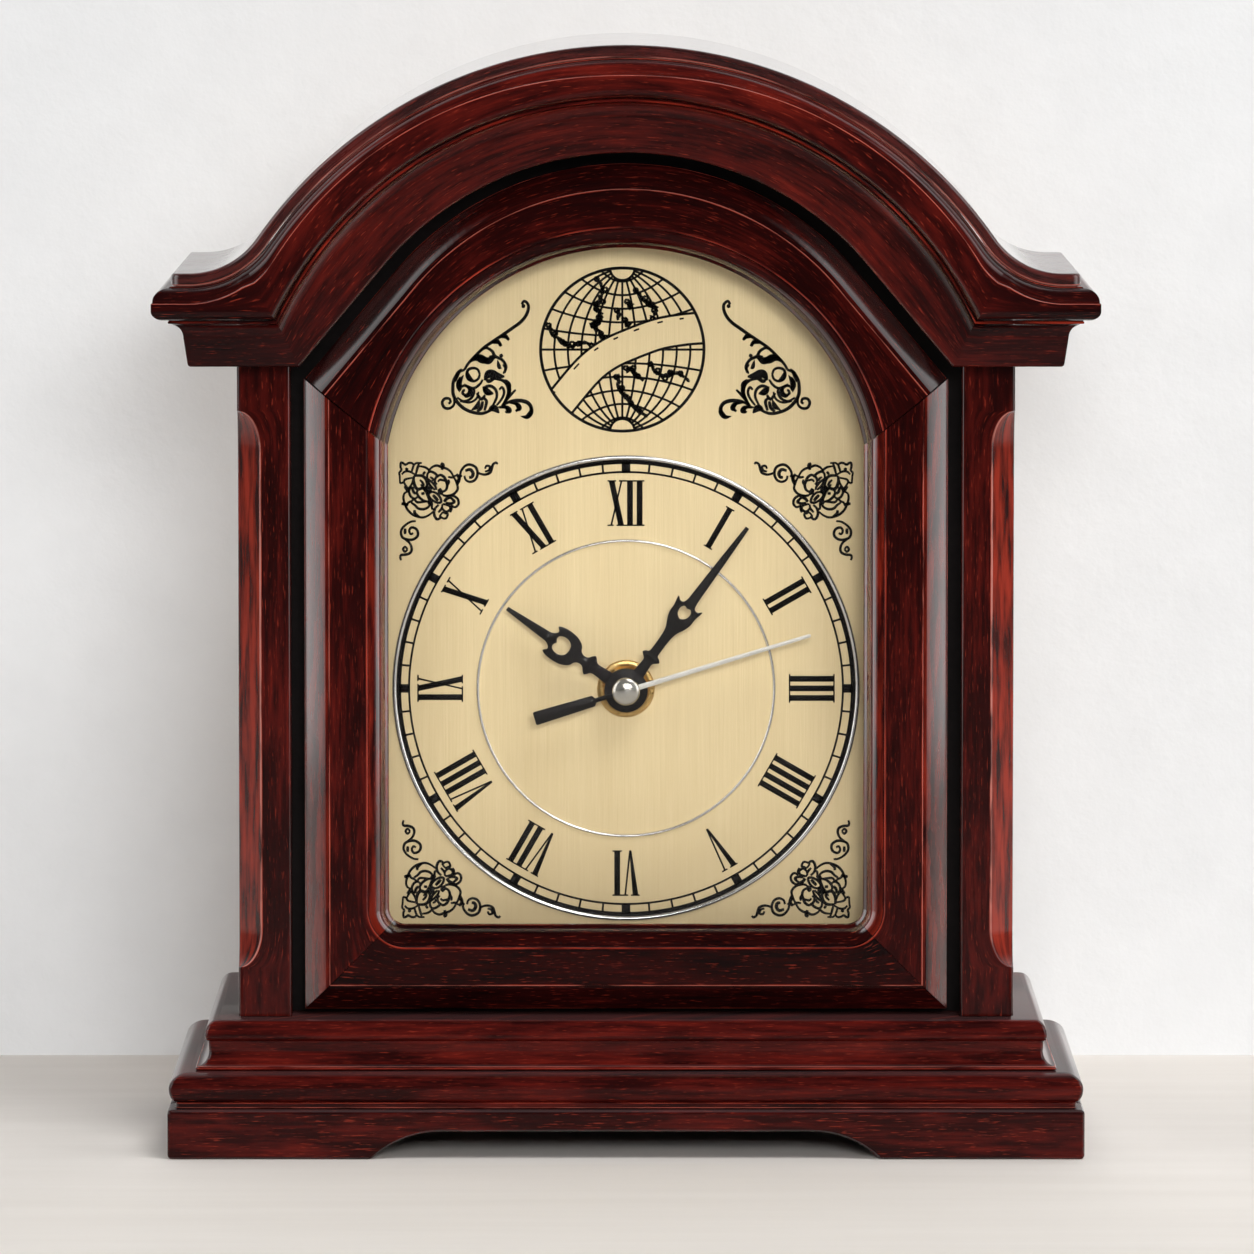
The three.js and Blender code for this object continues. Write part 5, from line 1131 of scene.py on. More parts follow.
def buildFrame():
    size = frameSize
    nudge = caseSize["joint"] / 2
    limit = math.radians(crownSize["haunch"])
    hipX, hipZ = archPoint(size["arcApex"], size["arcRadius"], limit)
    shoulderZ = hipZ - (size["shoulder"] - hipX) * math.tan(limit)
    opening, corner = size["openingRadius"], size["openingCorner"]
    centreZ = size["openingApex"] - opening
    springZ = centreZ + math.sqrt(opening ** 2 - size["openingHalf"] ** 2)
    cornerX, cornerZ = size["openingHalf"] - corner, size["openingLow"] + corner
    turn = quarter(9, 45, 0)
    reach = size["width"] + corner
    mitre = math.hypot(shoulderZ - springZ, size["width"]) / size["width"]
    fanOuter = asPoints(cornerX + reach, cornerZ - reach * np.tan(turn) + nudge)
    fanInner = asPoints(cornerX + corner * np.cos(turn), cornerZ - corner * np.sin(turn) + nudge)
    outer = np.concatenate([fanOuter, [[size["half"], shoulderZ - nudge]]])
    inner = np.concatenate([fanInner, [[size["openingHalf"], springZ - nudge]]])
    outerStretch, innerStretch = np.append(1 / np.cos(turn), mitre), np.append(0 * turn + 1, mitre)
    for side, flip in (("Right", [1, 1]), ("Left", [-1, 1])):
        frameMember(side, outer * flip, inner * flip, outerStretch, innerStretch, along=2)
    lowOuter = asPoints(cornerX + reach * np.tan(turn) - nudge, cornerZ - reach)
    lowInner = asPoints(cornerX + corner * np.sin(turn) - nudge, cornerZ - corner * np.cos(turn))
    both = lambda half: np.concatenate([half * [-1, 1], half[::-1]])
    stretch = np.concatenate([1 / np.cos(turn), 1 / np.cos(turn[::-1])])
    frameMember("Bottom", both(lowOuter), both(lowInner), stretch, np.ones_like(stretch), along=0)
    share = np.linspace(0, 1, size["archSteps"])
    arcOuter = haunchedArch(size["arcApex"], size["arcRadius"], shoulderZ + nudge, share)
    sweep = share * math.acos((springZ + nudge - centreZ) / opening)
    arcInner = asPoints(opening * np.sin(sweep), centreZ + opening * np.cos(sweep))
    lean = np.minimum(np.arcsin(np.minimum(arcOuter[:, 0] / size["arcRadius"], 1)), limit)
    span = arcOuter - arcInner
    stretched = lambda turn: np.hypot(*span.T) / (span[:, 0] * np.sin(turn) + span[:, 1] * np.cos(turn))
    whole = lambda half, flip: np.concatenate([half[:0:-1] * flip, half])
    edges = [whole(arc, [-1, 1]) for arc in (arcOuter, arcInner)]
    frameMember("Arch", *edges, *(whole(stretched(turn), 1) for turn in (lean, sweep)))


buildFrame()
print("front frame built")


# dial: rings and print

ringSize = {"outer": (56.6, 0.6), "inner": (36.2, 0.42), "height": 0.6, "sunk": 0.02, "segments": 192}


def dialRing(name, node, radius, half):  # half round bead seated on the dial
    turn = quarter(17, -90, 90)
    seat = dialSize["face"] - ringSize["sunk"]
    bead = asPoints(radius + half * np.sin(turn), seat - ringSize["height"] * np.cos(turn))
    piece = turned(name, np.concatenate([bead, bead[:1]]), (0, dialSize["axis"]), ringSize["segments"])
    return dress(piece, "ringMetal", nodes=[node])


dialRing("dialOuterRing", "dial_outer_ring", *ringSize["outer"])
dialRing("dialInnerRing", "dial_inner_ring", *ringSize["inner"])

printSize = {
    "lift": 0.03,
    "thickness": 0.05,
    "penSteps": 8,  # from one point of a stroke to the next
    "penEnds": 0.75,  # share of a pen stroke's width at its ends
    "leafEnds": 0.15,
    "leafFrom": 0.9,  # width
}


def strip(path, width):  # quads of a line of varying width along a path
    path = np.asarray(path, dtype=float)
    way = np.gradient(path, axis=0)
    way /= np.maximum(np.hypot(*way.T), 1e-9)[:, None]
    side = asPoints(-way[:, 1], way[:, 0]) * np.broadcast_to(width, len(path))[:, None] / 2
    left, right = path + side, path - side
    return np.stack([left[:-1], right[:-1], right[1:], left[1:]], axis=1)


def smoothPath(points, steps):  # Catmull-Rom curve through the points
    points = np.asarray(points, dtype=float)
    padded = np.concatenate([2 * points[:1] - points[1:2], points, 2 * points[-1:] - points[-2:-1]])
    p0, p1, p2, p3 = (padded[i:len(padded) - 3 + i, None] for i in range(4))
    t = np.linspace(0, 1, steps, endpoint=False)[None, :, None]
    bend, twist = 2 * p0 - 5 * p1 + 4 * p2 - p3, 3 * p1 - p0 - 3 * p2 + p3
    curve = 0.5 * (2 * p1 + (p2 - p0) * t + bend * t ** 2 + twist * t ** 3)
    return np.concatenate([curve.reshape(-1, 2), points[-1:]])


def taper(count, middle, ends):  # line width that swells in the middle
    return middle * (ends + (1 - ends) * np.sin(np.linspace(0, math.pi, count)))


def inkPiece(name, quads, centre):  # flat print in x and z round a centre on the dial, given a little thickness
    flat = np.concatenate(quads).reshape(-1, 2) + centre
    points = np.insert(flat, 1, dialSize["face"] - printSize["lift"], axis=1)
    faces = np.arange(len(points)).reshape(-1, 4).tolist()
    piece = surface(name, points, faces)
    skin = piece.modifiers.new("inkBody", "SOLIDIFY")
    skin.thickness, skin.offset = printSize["thickness"] * mm, 0
    return dress(piece, "printInk")


def onCircle(radius, angle):  # clockwise from the top
    return radius * asPoints(np.sin(angle), np.cos(angle))


def circle(radius, width, steps=240):
    return strip(onCircle(radius, np.radians(np.linspace(0, 360, steps + 1))), width)


def clockwise(across, along, turn):  # x and z of places across and along a direction turned from twelve o'clock
    c, s = np.cos(np.radians(turn)), np.sin(np.radians(turn))
    return across * c + along * s, along * c - across * s


trackSize = {"inner": 53.0, "outer": 55.2, "line": 0.5, "tick": 0.5, "block": 2.1, "rimLine": (55.75, 0.8)}
numeralSize = {
    "foot": 39.8,
    "height": 11.2,
    "thick": 1.42,
    "thin": 0.42,
    "pitch": 2.35,
    "wide": 4.3,
    "inset": 0.25,  # of the thick strokes
    "lean": 0.1,  # outwards shift of the thin strokes
    "point": 0.5,  # width at the foot of a V
    "serif": 0.36,
    "serifSpans": (2.1, 1.5),  # on thick and thin strokes
}


def radialQuads(turn, low, high, width):  # one quad across a ring at each clockwise turn
    side, reach = np.array([-1, 1, 1, -1]) * width / 2, np.array([low, low, high, high])
    return asPoints(*clockwise(side, reach, turn[:, None]))


def minuteTrack():
    minutes = np.arange(60)
    low, high, line = trackSize["inner"], trackSize["outer"], trackSize["line"]
    fine = radialQuads(6.0 * minutes[minutes % 5 > 0], low, high, trackSize["tick"])
    bold = radialQuads(30.0 * np.arange(12), low - line / 2, high + line / 2, trackSize["block"])
    return [circle(low, line), circle(high, line), circle(*trackSize["rimLine"]), fine, bold]


def stroke(lowX, lowWidth, highX, highWidth):  # a straight stroke from the foot to the head of a numeral
    h = numeralSize["height"]
    return [[lowX - lowWidth / 2, 0], [lowX + lowWidth / 2, 0], [highX + highWidth / 2, h], [highX - highWidth / 2, h]]


def serifs(low, high):  # level strokes at the foot and the head, as spans in x
    s, h = numeralSize["serif"], numeralSize["height"]
    feet = [[[a, 0], [b, 0], [b, s], [a, s]] for a, b in low]
    heads = [[[a, h - s], [b, h - s], [b, h], [a, h]] for a, b in high]
    return feet + heads


def letterStrokes(letter):  # the quads of one letter about its middle, and its width
    thick, thin, pitch, wide, lean = (numeralSize[key] for key in ("thick", "thin", "pitch", "wide", "lean"))
    if letter == "I":
        ends = [(-pitch / 2, pitch / 2)]
        return [stroke(0, thick, 0, thick)] + serifs(ends, ends), pitch
    half, (broad, narrow) = wide / 2, numeralSize["serifSpans"]
    reach = half - thick / 2 - numeralSize["inset"]
    heads = [(-half, -half + broad), (half - narrow, half)]
    if letter == "V":
        down = stroke(lean, numeralSize["point"], -reach, thick)
        return [down, stroke(2 * lean, thin, reach + 2 * lean, thin)] + serifs([], heads), wide
    feet = [(-half, -half + narrow), (half - broad, half)]
    down = stroke(reach, thick, -reach, thick)
    return [down, stroke(-reach - lean, thin, reach + lean, thin)] + serifs(feet, heads), wide


def numeral(text, turn):  # strokes set side by side, centred, then turned clockwise with the head outwards
    quads, advance = [], 0.0
    for letter in text:
        strokes, wide = letterStrokes(letter)
        quads.append(np.array(strokes) + [advance + wide / 2, 0])
        advance += wide
    flat = np.concatenate(quads) + [-advance / 2, numeralSize["foot"]]
    return asPoints(*clockwise(flat[..., 0], flat[..., 1], turn))


hourMarks = ("XII", "I", "II", "III", "IIII", "V", "VI", "VII", "VIII", "IX", "X", "XI")
inkPiece("minuteTrack", minuteTrack(), (0, dialSize["axis"]))
inkPiece("hourNumerals", [numeral(text, 30 * i) for i, text in enumerate(hourMarks)], (0, dialSize["axis"]))
print("dial rings, track and numerals printed")


globeSize = {
    "centre": (-0.9, 193.8),
    "radius": 19.9,
    "line": 0.62,
    "fine": 0.54,
    "rim": 0.744,
    "cap": 3.0,
    "parts": 6,  # of each quarter of the net
    "steps": 91,
    "band": 3.75,  # half width of the blank sash
    "dashes": (2.7, 0.42, 13, 3),  # off its middle, line, steps from one to the next, steps drawn
    "coast": (1.7, 2.9, 0.3),  # two waves along a mark, in radians per step, and their height
    "coastWidth": (0.6, 0.72, 0.25),  # width at the ends, mean share and waver
    "spot": (0.5, 0.6, 10),  # radius, line and sides of a small ring
    "spotPlaces": (3, 6, 0.5),  # first step along a mark, steps from one to the next, scatter
    "sashPoints": ((-15.6, -13.6), (-8.6, -5.3), (-3.4, -1.2), (2.2, 1.4), (8.8, 3.8), (15, 4.9), (19.6, 5.3)),
    "land": (  # coast-like marks: width, then the points that each one passes through
        (1.5, ((-6.4, 17.8), (-4.9, 14.9), (-5.6, 12.1), (-6.4, 10.2), (-5.2, 8.3), (-6.1, 6.9), (-7.5, 5.9),
            (-5.6, 4.5), (-4.9, 2.8))),
        (1.5, ((3.1, 14.9), (4.8, 12.6), (6, 11.6), (7.2, 10.7), (8.3, 10), (7.2, 7.8))),
        (2, ((1.6, 11.8), (1.9, 10.1))),
        (1.4, ((-0.8, 10.2), (-1.1, 7.3))),
        (2, ((0.9, 7.8), (1.4, 4.9))),
        (1.4, ((-17.5, 6.4), (-17.3, 4), (-15.1, 2.4), (-12.7, 0.7), (-10.4, 1.7), (-7.1, 1.4))),
        (1.5, ((1.1, -5.4), (1.9, -4.5), (3, -5.9), (4.9, -7.3))),
        (1.4, ((7.1, -3.3), (7.7, -5), (10, -6.4), (13.3, -5.7), (16.6, -7.8))),
        (1.6, ((-0.9, -5.9), (-0.9, -9.2), (1, -11.6), (3.4, -14.5), (6.2, -16.4))),
    ),
}


def offSash(quads):  # the quads inside the globe that the sash leaves free
    line = smoothPath(globeSize["sashPoints"], 24)
    centres = quads.mean(axis=1)
    away = np.hypot(*(centres[:, None] - line[None]).transpose(2, 0, 1)).min(axis=1)
    return quads[(away > globeSize["band"]) & (np.hypot(*centres.T) < globeSize["radius"])]


def meridian(share):  # the arc through both poles that crosses the middle at this share of the radius
    radius, t = globeSize["radius"], np.linspace(-1, 1, globeSize["steps"])
    if share == 0:
        return asPoints(0, radius * t)
    sweep = (share + 1 / share) * radius / 2
    turn = t * math.asin(radius / sweep)
    return asPoints(share * radius - sweep * (1 - np.cos(turn)), sweep * np.sin(turn))


def parallel(share):  # z = middle + (edge - middle) (x / xEdge)^2
    radius = globeSize["radius"]
    edgeX, edgeZ = (radius * wave(math.pi / 2 * share) for wave in (math.cos, math.sin))
    x = np.linspace(-edgeX, edgeX, globeSize["steps"])
    return asPoints(x, radius * share + (edgeZ - radius * share) * (x / edgeX) ** 2)


def globeNet():
    parts = globeSize["parts"]
    shares = [k / parts for k in range(1 - parts, parts)]
    lines = [meridian(share) for share in shares] + [parallel(share) for share in shares]
    quads = np.concatenate([strip(line, globeSize["fine"]) for line in lines])
    x, z = quads.mean(axis=1).T
    return offSash(quads[np.hypot(x, globeSize["radius"] - np.abs(z)) > globeSize["cap"]])


def landMarks():  # strokes whose width wavers like a coast, with small rings beside them
    slow, quick, height = globeSize["coast"]
    ends, mean, change = globeSize["coastWidth"]
    first, pitch, scatter = globeSize["spotPlaces"]
    ring = circle(*globeSize["spot"])
    quads = []
    for width, points in globeSize["land"]:
        line = smoothPath(points, printSize["penSteps"])
        step = np.arange(len(line))
        waver = np.sin(slow * step) + np.sin(quick * step + width)
        line = line + height * asPoints(waver, -waver)
        quads.append(strip(line, taper(len(line), width, ends) * (mean + change * waver)))
        quads += [ring + spot + scatter * np.sin([i, 2 * i]) for i, spot in enumerate(line[first::pitch])]
    return offSash(np.concatenate(quads))


def sash():  # two edges and a row of dashes
    line = smoothPath(globeSize["sashPoints"], 16)
    way = np.gradient(line, axis=0)
    normal = asPoints(-way[:, 1], way[:, 0]) / np.hypot(*way.T)[:, None]
    edges = [strip(line + normal * globeSize["band"] * side, globeSize["line"]) for side in (-1, 1)]
    offset, width, pitch, length = globeSize["dashes"]
    dashes = strip(line + normal * offset, width)
    quads = np.concatenate([*edges, dashes[np.arange(len(dashes)) % pitch < length]])
    return quads[np.hypot(*quads.mean(axis=1).T) < globeSize["radius"]]


def globe():
    radius = globeSize["radius"]
    quads = [globeNet(), landMarks(), sash(), circle(radius, globeSize["rim"], 160)]
    for side in (1, -1):
        arc = circle(globeSize["cap"], globeSize["line"], 48) + [0, side * radius]
        quads.append(arc[np.hypot(*arc.mean(axis=1).T) < radius])
    return quads


def drawn(strokes):  # pen strokes of a given width: thin ones keep it, wide ones are leaves with pointed ends
    quads = []
    for width, points in strokes:
        line = smoothPath(points, printSize["penSteps"])
        ends = printSize["penEnds" if width < printSize["leafFrom"] else "leafEnds"]
        quads.append(strip(line, taper(len(line), width, ends)))
    return quads


def flipped(quads, way):  # quads turned over, corners kept in order
    return [(quad * way)[:, ::-1] for quad in quads]


def printPair(name, quads, centre):  # the same on the left and, turned over, on the right
    left = [quad + centre for quad in quads]
    inkPiece(name, left + flipped(left, [-1, 1]), (0, 0))


scrollSize = {  # a scrolled teardrop with leaves, drawn for the left and turned over for the right
    "centre": (-34.6, 193.4),
    "strokes": (
        (0.85, ((9.2, 11.4), (9.8, 12.2), (10.7, 11.5), (10.8, 10.2), (10.1, 8.5), (8.8, 7), (7, 5.7),
            (4.6, 4), (2.2, 2.4), (-0.1, 0.8), (-2.4, -1.4), (-4, -3.2), (-4.7, -4.5))),
        (0.88, ((-4.7, -4.5), (-6.2, -5.2), (-7.3, -6.9), (-7.6, -8.8), (-7.4, -10.9), (-6.2, -12.8),
            (-4.5, -14.2), (-2.4, -15), (-0.5, -15.2), (1.2, -14.6), (2.5, -13.7))),
        (0.75, ((-7.3, -11), (-7.3, -12.9), (-8.3, -13.9), (-9.6, -13.8), (-10.2, -12.6), (-9.6, -11.6),
            (-8.5, -11.6), (-8.2, -12.4), (-8.7, -12.8))),
        (0.98, ((2.5, -13.7), (4.4, -13.5), (5.6, -12.6), (7.3, -12.1), (9.2, -12.1), (10.8, -12.7),
            (11.6, -14.1), (11.2, -15.4), (10, -16.2), (8.9, -15.8))),
        (0.8, ((6.3, -12.5), (7.9, -12.9), (8.4, -13.9), (7.7, -14.7))),
        (0.8, ((3.7, -13.7), (5.2, -13.7), (5.8, -14.4), (5.2, -15))),
        (0.69, ((4.6, -13), (6.3, -10.9), (7.7, -9.4))),
        (2.42, ((0.1, -7.1), (1.2, -5.6), (2.9, -6), (5, -6.2))),
        (1.15, ((2.5, -6.9), (4.4, -7.1), (5.7, -8.1), (6.1, -9.8), (5.5, -11.6), (4.2, -13.3))),
        (0.8, ((-0.8, 0.3), (0.6, 0.8), (2, 0), (2.7, -1.2), (4.4, -2.1), (5.4, -3.7), (5, -5.3))),
        (1.95, ((-3.5, -2.3), (-1.6, -1.6), (0.1, -2.2), (1.6, -1.6))),
        (0.75, ((-1, -5.7), (-1.5, -4.5), (-2.6, -4.1), (-3.8, -4.5), (-4.2, -5.7), (-3.8, -6.8),
            (-2.6, -7.3), (-1.5, -6.8), (-1, -5.7))),
        (0.75, ((-5.9, -9.6), (-5.5, -8.7), (-4.6, -8.4), (-3.7, -9), (-3.6, -10), (-4.4, -10.7),
            (-5.2, -10.3), (-5, -9.6), (-4.6, -9.6))),
        (1.15, ((-5.8, -6.2), (-6.3, -8.1), (-6, -10))),
        (0.69, ((-4.9, -8.1), (-2.6, -9), (-1.1, -8.1), (-0.3, -6.9))),
        (0.69, ((-6.6, -11.3), (-4.9, -12.2), (-3.2, -11.5), (-2.4, -10), (-2.6, -9))),
        (0.8, ((2.2, -13.2), (3.1, -11.1), (2.8, -9.4), (1.6, -8.5), (0.3, -8.8), (0.1, -9.7), (1.2, -10.4),
            (1.9, -9.8))),
        (0.69, ((3.1, -13.2), (4.4, -11.5), (4.9, -10), (4.4, -8.8), (3.7, -9.4))),
        (1.15, ((3.7, 3.4), (5.2, 3.6), (5.8, 2.9))),
        (1.15, ((1.6, 2), (3.3, 2.3), (4, 1.4))),
        (1.03, ((4, -1.6), (4.4, -0.6))),
        (1, ((9.3, 11.4), (9.6, 11), (10, 11.4))),
        (0.8, ((4.3, 3.5), (5.4, 3.4), (6.1, 2.7))),
        (0.88, ((5.6, 3.3), (6, 2.9))),
        (0.85, ((2.2, 2.1), (3.6, 2.1), (4.2, 1.2))),
        (0.88, ((3.8, 1.8), (4.1, 1.3))),
        (1.7, ((-3.2, -2.6), (-1.3, -1.4), (0.1, -2.1), (1.3, -2.5), (2.8, -1.4))),
        (1.2, ((1.2, -1.2), (2.1, -1.5), (3.1, -1.3))),
        (1, ((3.3, -2.1), (3.7, -3.8), (4.3, -4.2))),
        (0.6, ((4.6, -3.2), (5.2, -4.2), (4.7, -5.5))),
        (1.2, ((-4, -5), (-3.6, -6.5), (-2.4, -7.3))),
        (1.1, ((-5, -5.8), (-5.9, -7.6), (-5.7, -9.6))),
        (1, ((-4.2, -8.3), (-3.3, -9.2), (-3.3, -10.4), (-4.4, -11), (-5.1, -10.3))),
        (0.6, ((-5.9, -12.2), (-3.6, -12.5), (-1.9, -11.6), (-1.3, -9.9))),
        (1.7, ((-0.3, -8.6), (0.8, -9.9), (2.3, -10.4))),
        (0.75, ((5.6, -8.1), (6.1, -9.5), (5.5, -11.4), (4.5, -13.3))),
        (1.2, ((-3.1, -14.4), (-1.7, -13.4), (-1.1, -11.8))),
        (0.88, ((-1.7, -14.7), (-0.7, -13.8), (-0.3, -12.2))),
        (0.8, ((0.1, -14.5), (0.6, -12.3), (-0.2, -11.3))),
        (0.8, ((-1.8, -10.2), (-0.7, -11.7), (0.3, -10.7))),
        (1.8, ((1, -14.5), (2.4, -13.9), (3.7, -15.1))),
        (1.3, ((4.5, -13.5), (5.6, -13.8), (6.2, -14.6), (5.3, -15.1))),
        (1.3, ((6.9, -12.4), (8.1, -13), (8.6, -14), (7.8, -14.6))),
        (1.3, ((9, -15.9), (10.5, -16), (11.5, -14.7), (11.1, -13.3))),
        (1.1, ((-5.5, -4.2), (-6.5, -5.7), (-7, -7.6))),
        (1, ((0.4, -6.8), (1.2, -7.3), (2.8, -6.7))),
        (1, ((5.2, -6.8), (6.1, -8.1), (6.3, -9.6))),
    ),
}

cornerSize = {  # a flower head with one tendril along and one down, drawn for the upper left
    "upper": (-48.4, 159.4),
    "lower": (-47.9, 61.4),
    "strokes": (
        (0.62, ((-6.7, 1.7), (-6.8, 3.5), (-6.9, 4.3), (-6.4, 5), (-6.6, 5.8), (-6.5, 6.7), (-6, 6.7),
            (-5.4, 6.3), (-4.6, 6.7), (-3.9, 6.7), (-3.3, 6.3), (-2.7, 6.7), (-1.4, 6.7))),
        (0.6, ((-6.3, 3.9), (-5.7, 4.5), (-5, 4.7), (-4.1, 4.5), (-3.1, 3.9))),
        (0.6, ((-5, 4.7), (-5.2, 5.3), (-4.7, 5.1))),
        (0.6, ((-3.3, 6.3), (-3.6, 5.5), (-3.9, 4.5))),
        (0.6, ((-6.7, 1.7), (-5.9, 2), (-5.4, 2.7), (-3.7, 3.1))),
        (0.65, ((-2.1, 6.6), (-2.5, 5.3), (-2.9, 3.8))),
        (0.8, ((-3.3, 3.6), (-1.5, 3.6), (-0.5, 2.9), (-0.1, 1.7), (-0.2, 0.5))),
        (0.85, ((-3.3, 3.6), (-3.4, 2.3), (-3, 0.9), (-2.3, 0.3), (-1.2, 0.6), (-0.3, 0.4))),
        (0.62, ((-1.9, 2.6), (-1.2, 1.9), (-0.8, 1.1))),
        (0.55, ((-1.7, 1.5), (-1.2, 1), (-0.7, 0.6))),
        (0.62, ((-2, 5.9), (-0.7, 5.7), (0.2, 5.1), (0.5, 4.5))),
        (0.7, ((-1.1, 3.9), (-0.6, 4.6))),
        (0.65, ((0.3, 4.7), (1, 5.6), (2.2, 6.1), (3.4, 5.7), (4.7, 5.3), (5.7, 4.5), (6.3, 3.4))),
        (0.88, ((3.2, 6.6), (3.8, 6.2), (3.5, 5))),
        (0.7, ((-0.1, 2.9), (0, 4), (0.6, 4.6), (1.6, 4.3), (2.3, 3.6), (1.9, 2.9), (1.8, 2.1), (2.3, 1.4))),
        (0.75, ((2.3, 3.3), (3.1, 3.8), (4, 3.3), (4.5, 2.3), (4.8, 1.3), (4.5, 0.2), (3.7, -0.4))),
        (0.6, ((2.5, 2.1), (3, 2.6), (3.7, 2.5), (4.3, 2.3))),
        (0.65, ((0, 2.9), (1.1, 2), (1.9, 1), (2.2, 0.1))),
        (0.65, ((0.1, 2.6), (0.6, 1.3), (1.8, 0.1))),
        (0.6, ((0.6, 3.3), (1.2, 2.9), (1.4, 2.3))),
        (1.7, ((-0.6, 1.1), (0.2, 0.2), (1, -0.7))),
        (1.35, ((3.1, 0.6), (3.1, -0.2), (3.7, -1.2))),
        (0.65, ((0.3, -1), (0.8, -0.4), (2, -0.6), (3, -1.6), (3.3, -2.8), (2.4, -3), (1.2, -2.4), (0.4, -1.5),
            (0.3, -1))),
        (0.85, ((1.3, -1.1), (2.6, -2.5))),
        (0.7, ((-2.3, 0.3), (-2.6, -0.6), (-2.1, -1.6), (-1.1, -2.4), (0.1, -2.8))),
        (0.8, ((-1.2, 0.6), (-0.3, -0.4), (0.2, -1.6), (0.5, -2.6))),
        (0.88, ((-1.2, -0.4), (-1.1, -1.1))),
        (0.65, ((-3.7, 0.9), (-4.4, 0.2), (-4.5, -0.6), (-4, -1.6), (-3.1, -2), (-2.4, -1.5))),
        (0.75, ((-3.7, 0.9), (-3.5, -0.2), (-2.9, -0.9))),
        (0.62, ((-5.7, 1), (-5.3, 0.4), (-4.8, -0.1), (-4.1, 0.6), (-3.7, 0.9))),
        (0.6, ((-5.8, 2.1), (-5.4, 1.3), (-4.7, 0.5), (-3.9, 1.5), (-3.6, 2.4))),
        (0.65, ((-4.8, -0.2), (-5.7, -0.8), (-5.9, -2), (-5.5, -3.4), (-4.9, -4.7), (-3.8, -5.8), (-2.5, -6.4),
            (-1.1, -6.6), (0.2, -6.1), (1.4, -5.2))),
        (0.88, ((-6.4, -3.2), (-5.4, -3.4), (-4.9, -3.8))),
        (0.6, ((-5, -3.8), (-4.7, -3), (-3.9, -2.6), (-3.3, -2))),
        (0.7, ((-4, -3), (-3.1, -3.6), (-2.3, -4.4), (-1.1, -4.6), (0, -4.2), (0.8, -3.3))),
        (0.65, ((-3.3, -2), (-2.7, -2.8), (-1.9, -2.9), (-0.1, -2.7))),
        (1.3, ((-0.1, -2.5), (0.7, -3.1), (1.4, -3.4))),
        (0.75, ((-3.2, -4.8), (-3.1, -5.6), (-2.1, -6.4))),
        (0.62, ((5, 3.3), (6.1, 3.2), (6.9, 3.7))),
        (0.6, ((5.1, 2.7), (5.2, 1.9), (4.7, 1.1))),
        (0.65, ((6.3, 3.4), (6.9, 2.3), (7.4, 0.7), (7, -0.3), (6.1, -1), (4.7, -1.3), (3.7, -1.1))),
        (0.88, ((7, 4), (7.7, 3.1), (7.5, 2.1), (7.1, 1.3))),
        (0.65, ((3.7, -1.2), (4.9, -1.4), (6.4, -1.4), (7.4, -2.2), (7.5, -3.4), (6.7, -4.1), (5.7, -3.6))),
        (0.85, ((4, -2.8), (4.7, -2), (5.5, -1.7))),
        (0.75, ((4.4, -3), (5.7, -3.2), (6.5, -2.8), (6.2, -2.3), (5.5, -1.7))),
        (0.65, ((3.6, -3.4), (3.6, -4.4), (4.5, -5.2), (5.5, -4.6), (5.3, -3.8), (4.2, -3.4), (3.6, -3.4))),
        (0.65, ((5.7, -3.6), (5.8, -4.5), (5.5, -5.4))),
        (0.7, ((2.7, -3.5), (1.8, -4.5), (1.6, -5.9), (2.2, -7), (3, -6.8), (3, -6.1))),
        (0.65, ((2.6, -5.4), (3.3, -4.6), (3.6, -4))),
        (0.6, ((3, -6.2), (3.7, -5.4), (4.3, -5.6), (4.9, -5.8), (4.5, -6.8), (3.7, -6.8), (3.2, -6.4))),
        (0.6, ((1.1, -3.1), (1.1, -4.4), (1.7, -4.6))),
        (0.69, ((7, 1.9), (7.8, 3.3), (8.2, 4.8), (9.2, 6), (10.4, 6.3), (11.8, 5.6), (12.2, 4), (11.6, 2.6),
            (10.4, 2.1), (9.3, 2.6), (9, 3.6))),
        (0.88, ((9.2, 4.8), (10.4, 5.1), (11.1, 4.2), (10.8, 3.3), (10.1, 3.2))),
        (0.69, ((12.2, 4.4), (13.1, 4), (14.2, 3.9), (15.3, 4.4), (15.7, 5.5), (16, 6.4), (16.7, 6.8),
            (17.1, 6.4))),
        (0.62, ((14, 5.3), (14.4, 6), (15.2, 5.8), (14.9, 4.9), (14, 4.6))),
        (0.62, ((7.5, 3), (8.4, 3.7))),
        (0.69, ((-2.9, -7.5), (-4.2, -7.7), (-5.7, -8.7), (-6.5, -10), (-6.2, -11.4), (-5, -12), (-3.6, -12),
            (-2.5, -11.2), (-2.4, -10.1), (-3, -9.3), (-4, -9.1), (-4.5, -9.9), (-4.1, -10.7), (-3.5, -10.4))),
        (0.69, ((-5.5, -12), (-4.4, -12.9), (-3.9, -14.2), (-4.2, -15.2), (-5.3, -15.7), (-6.4, -15.8),
            (-6.7, -16.3), (-6.5, -17.1))),
        (0.62, ((-4.9, -14.4), (-5.5, -13.8), (-6, -14.4), (-5.5, -15), (-4.9, -14.4))),
        (0.75, ((-5.5, -9.3), (-5.5, -10.7))),
    ),
}


printPair("scrolls", drawn(scrollSize["strokes"]), scrollSize["centre"])
inkPiece("globe", globe(), globeSize["centre"])
flower = drawn(cornerSize["strokes"])
printPair("upperCorners", flower, cornerSize["upper"])
printPair("lowerCorners", flipped(flower, [1, -1]), cornerSize["lower"])
print("globe, scrolls and corners printed")


# hands and their fittings

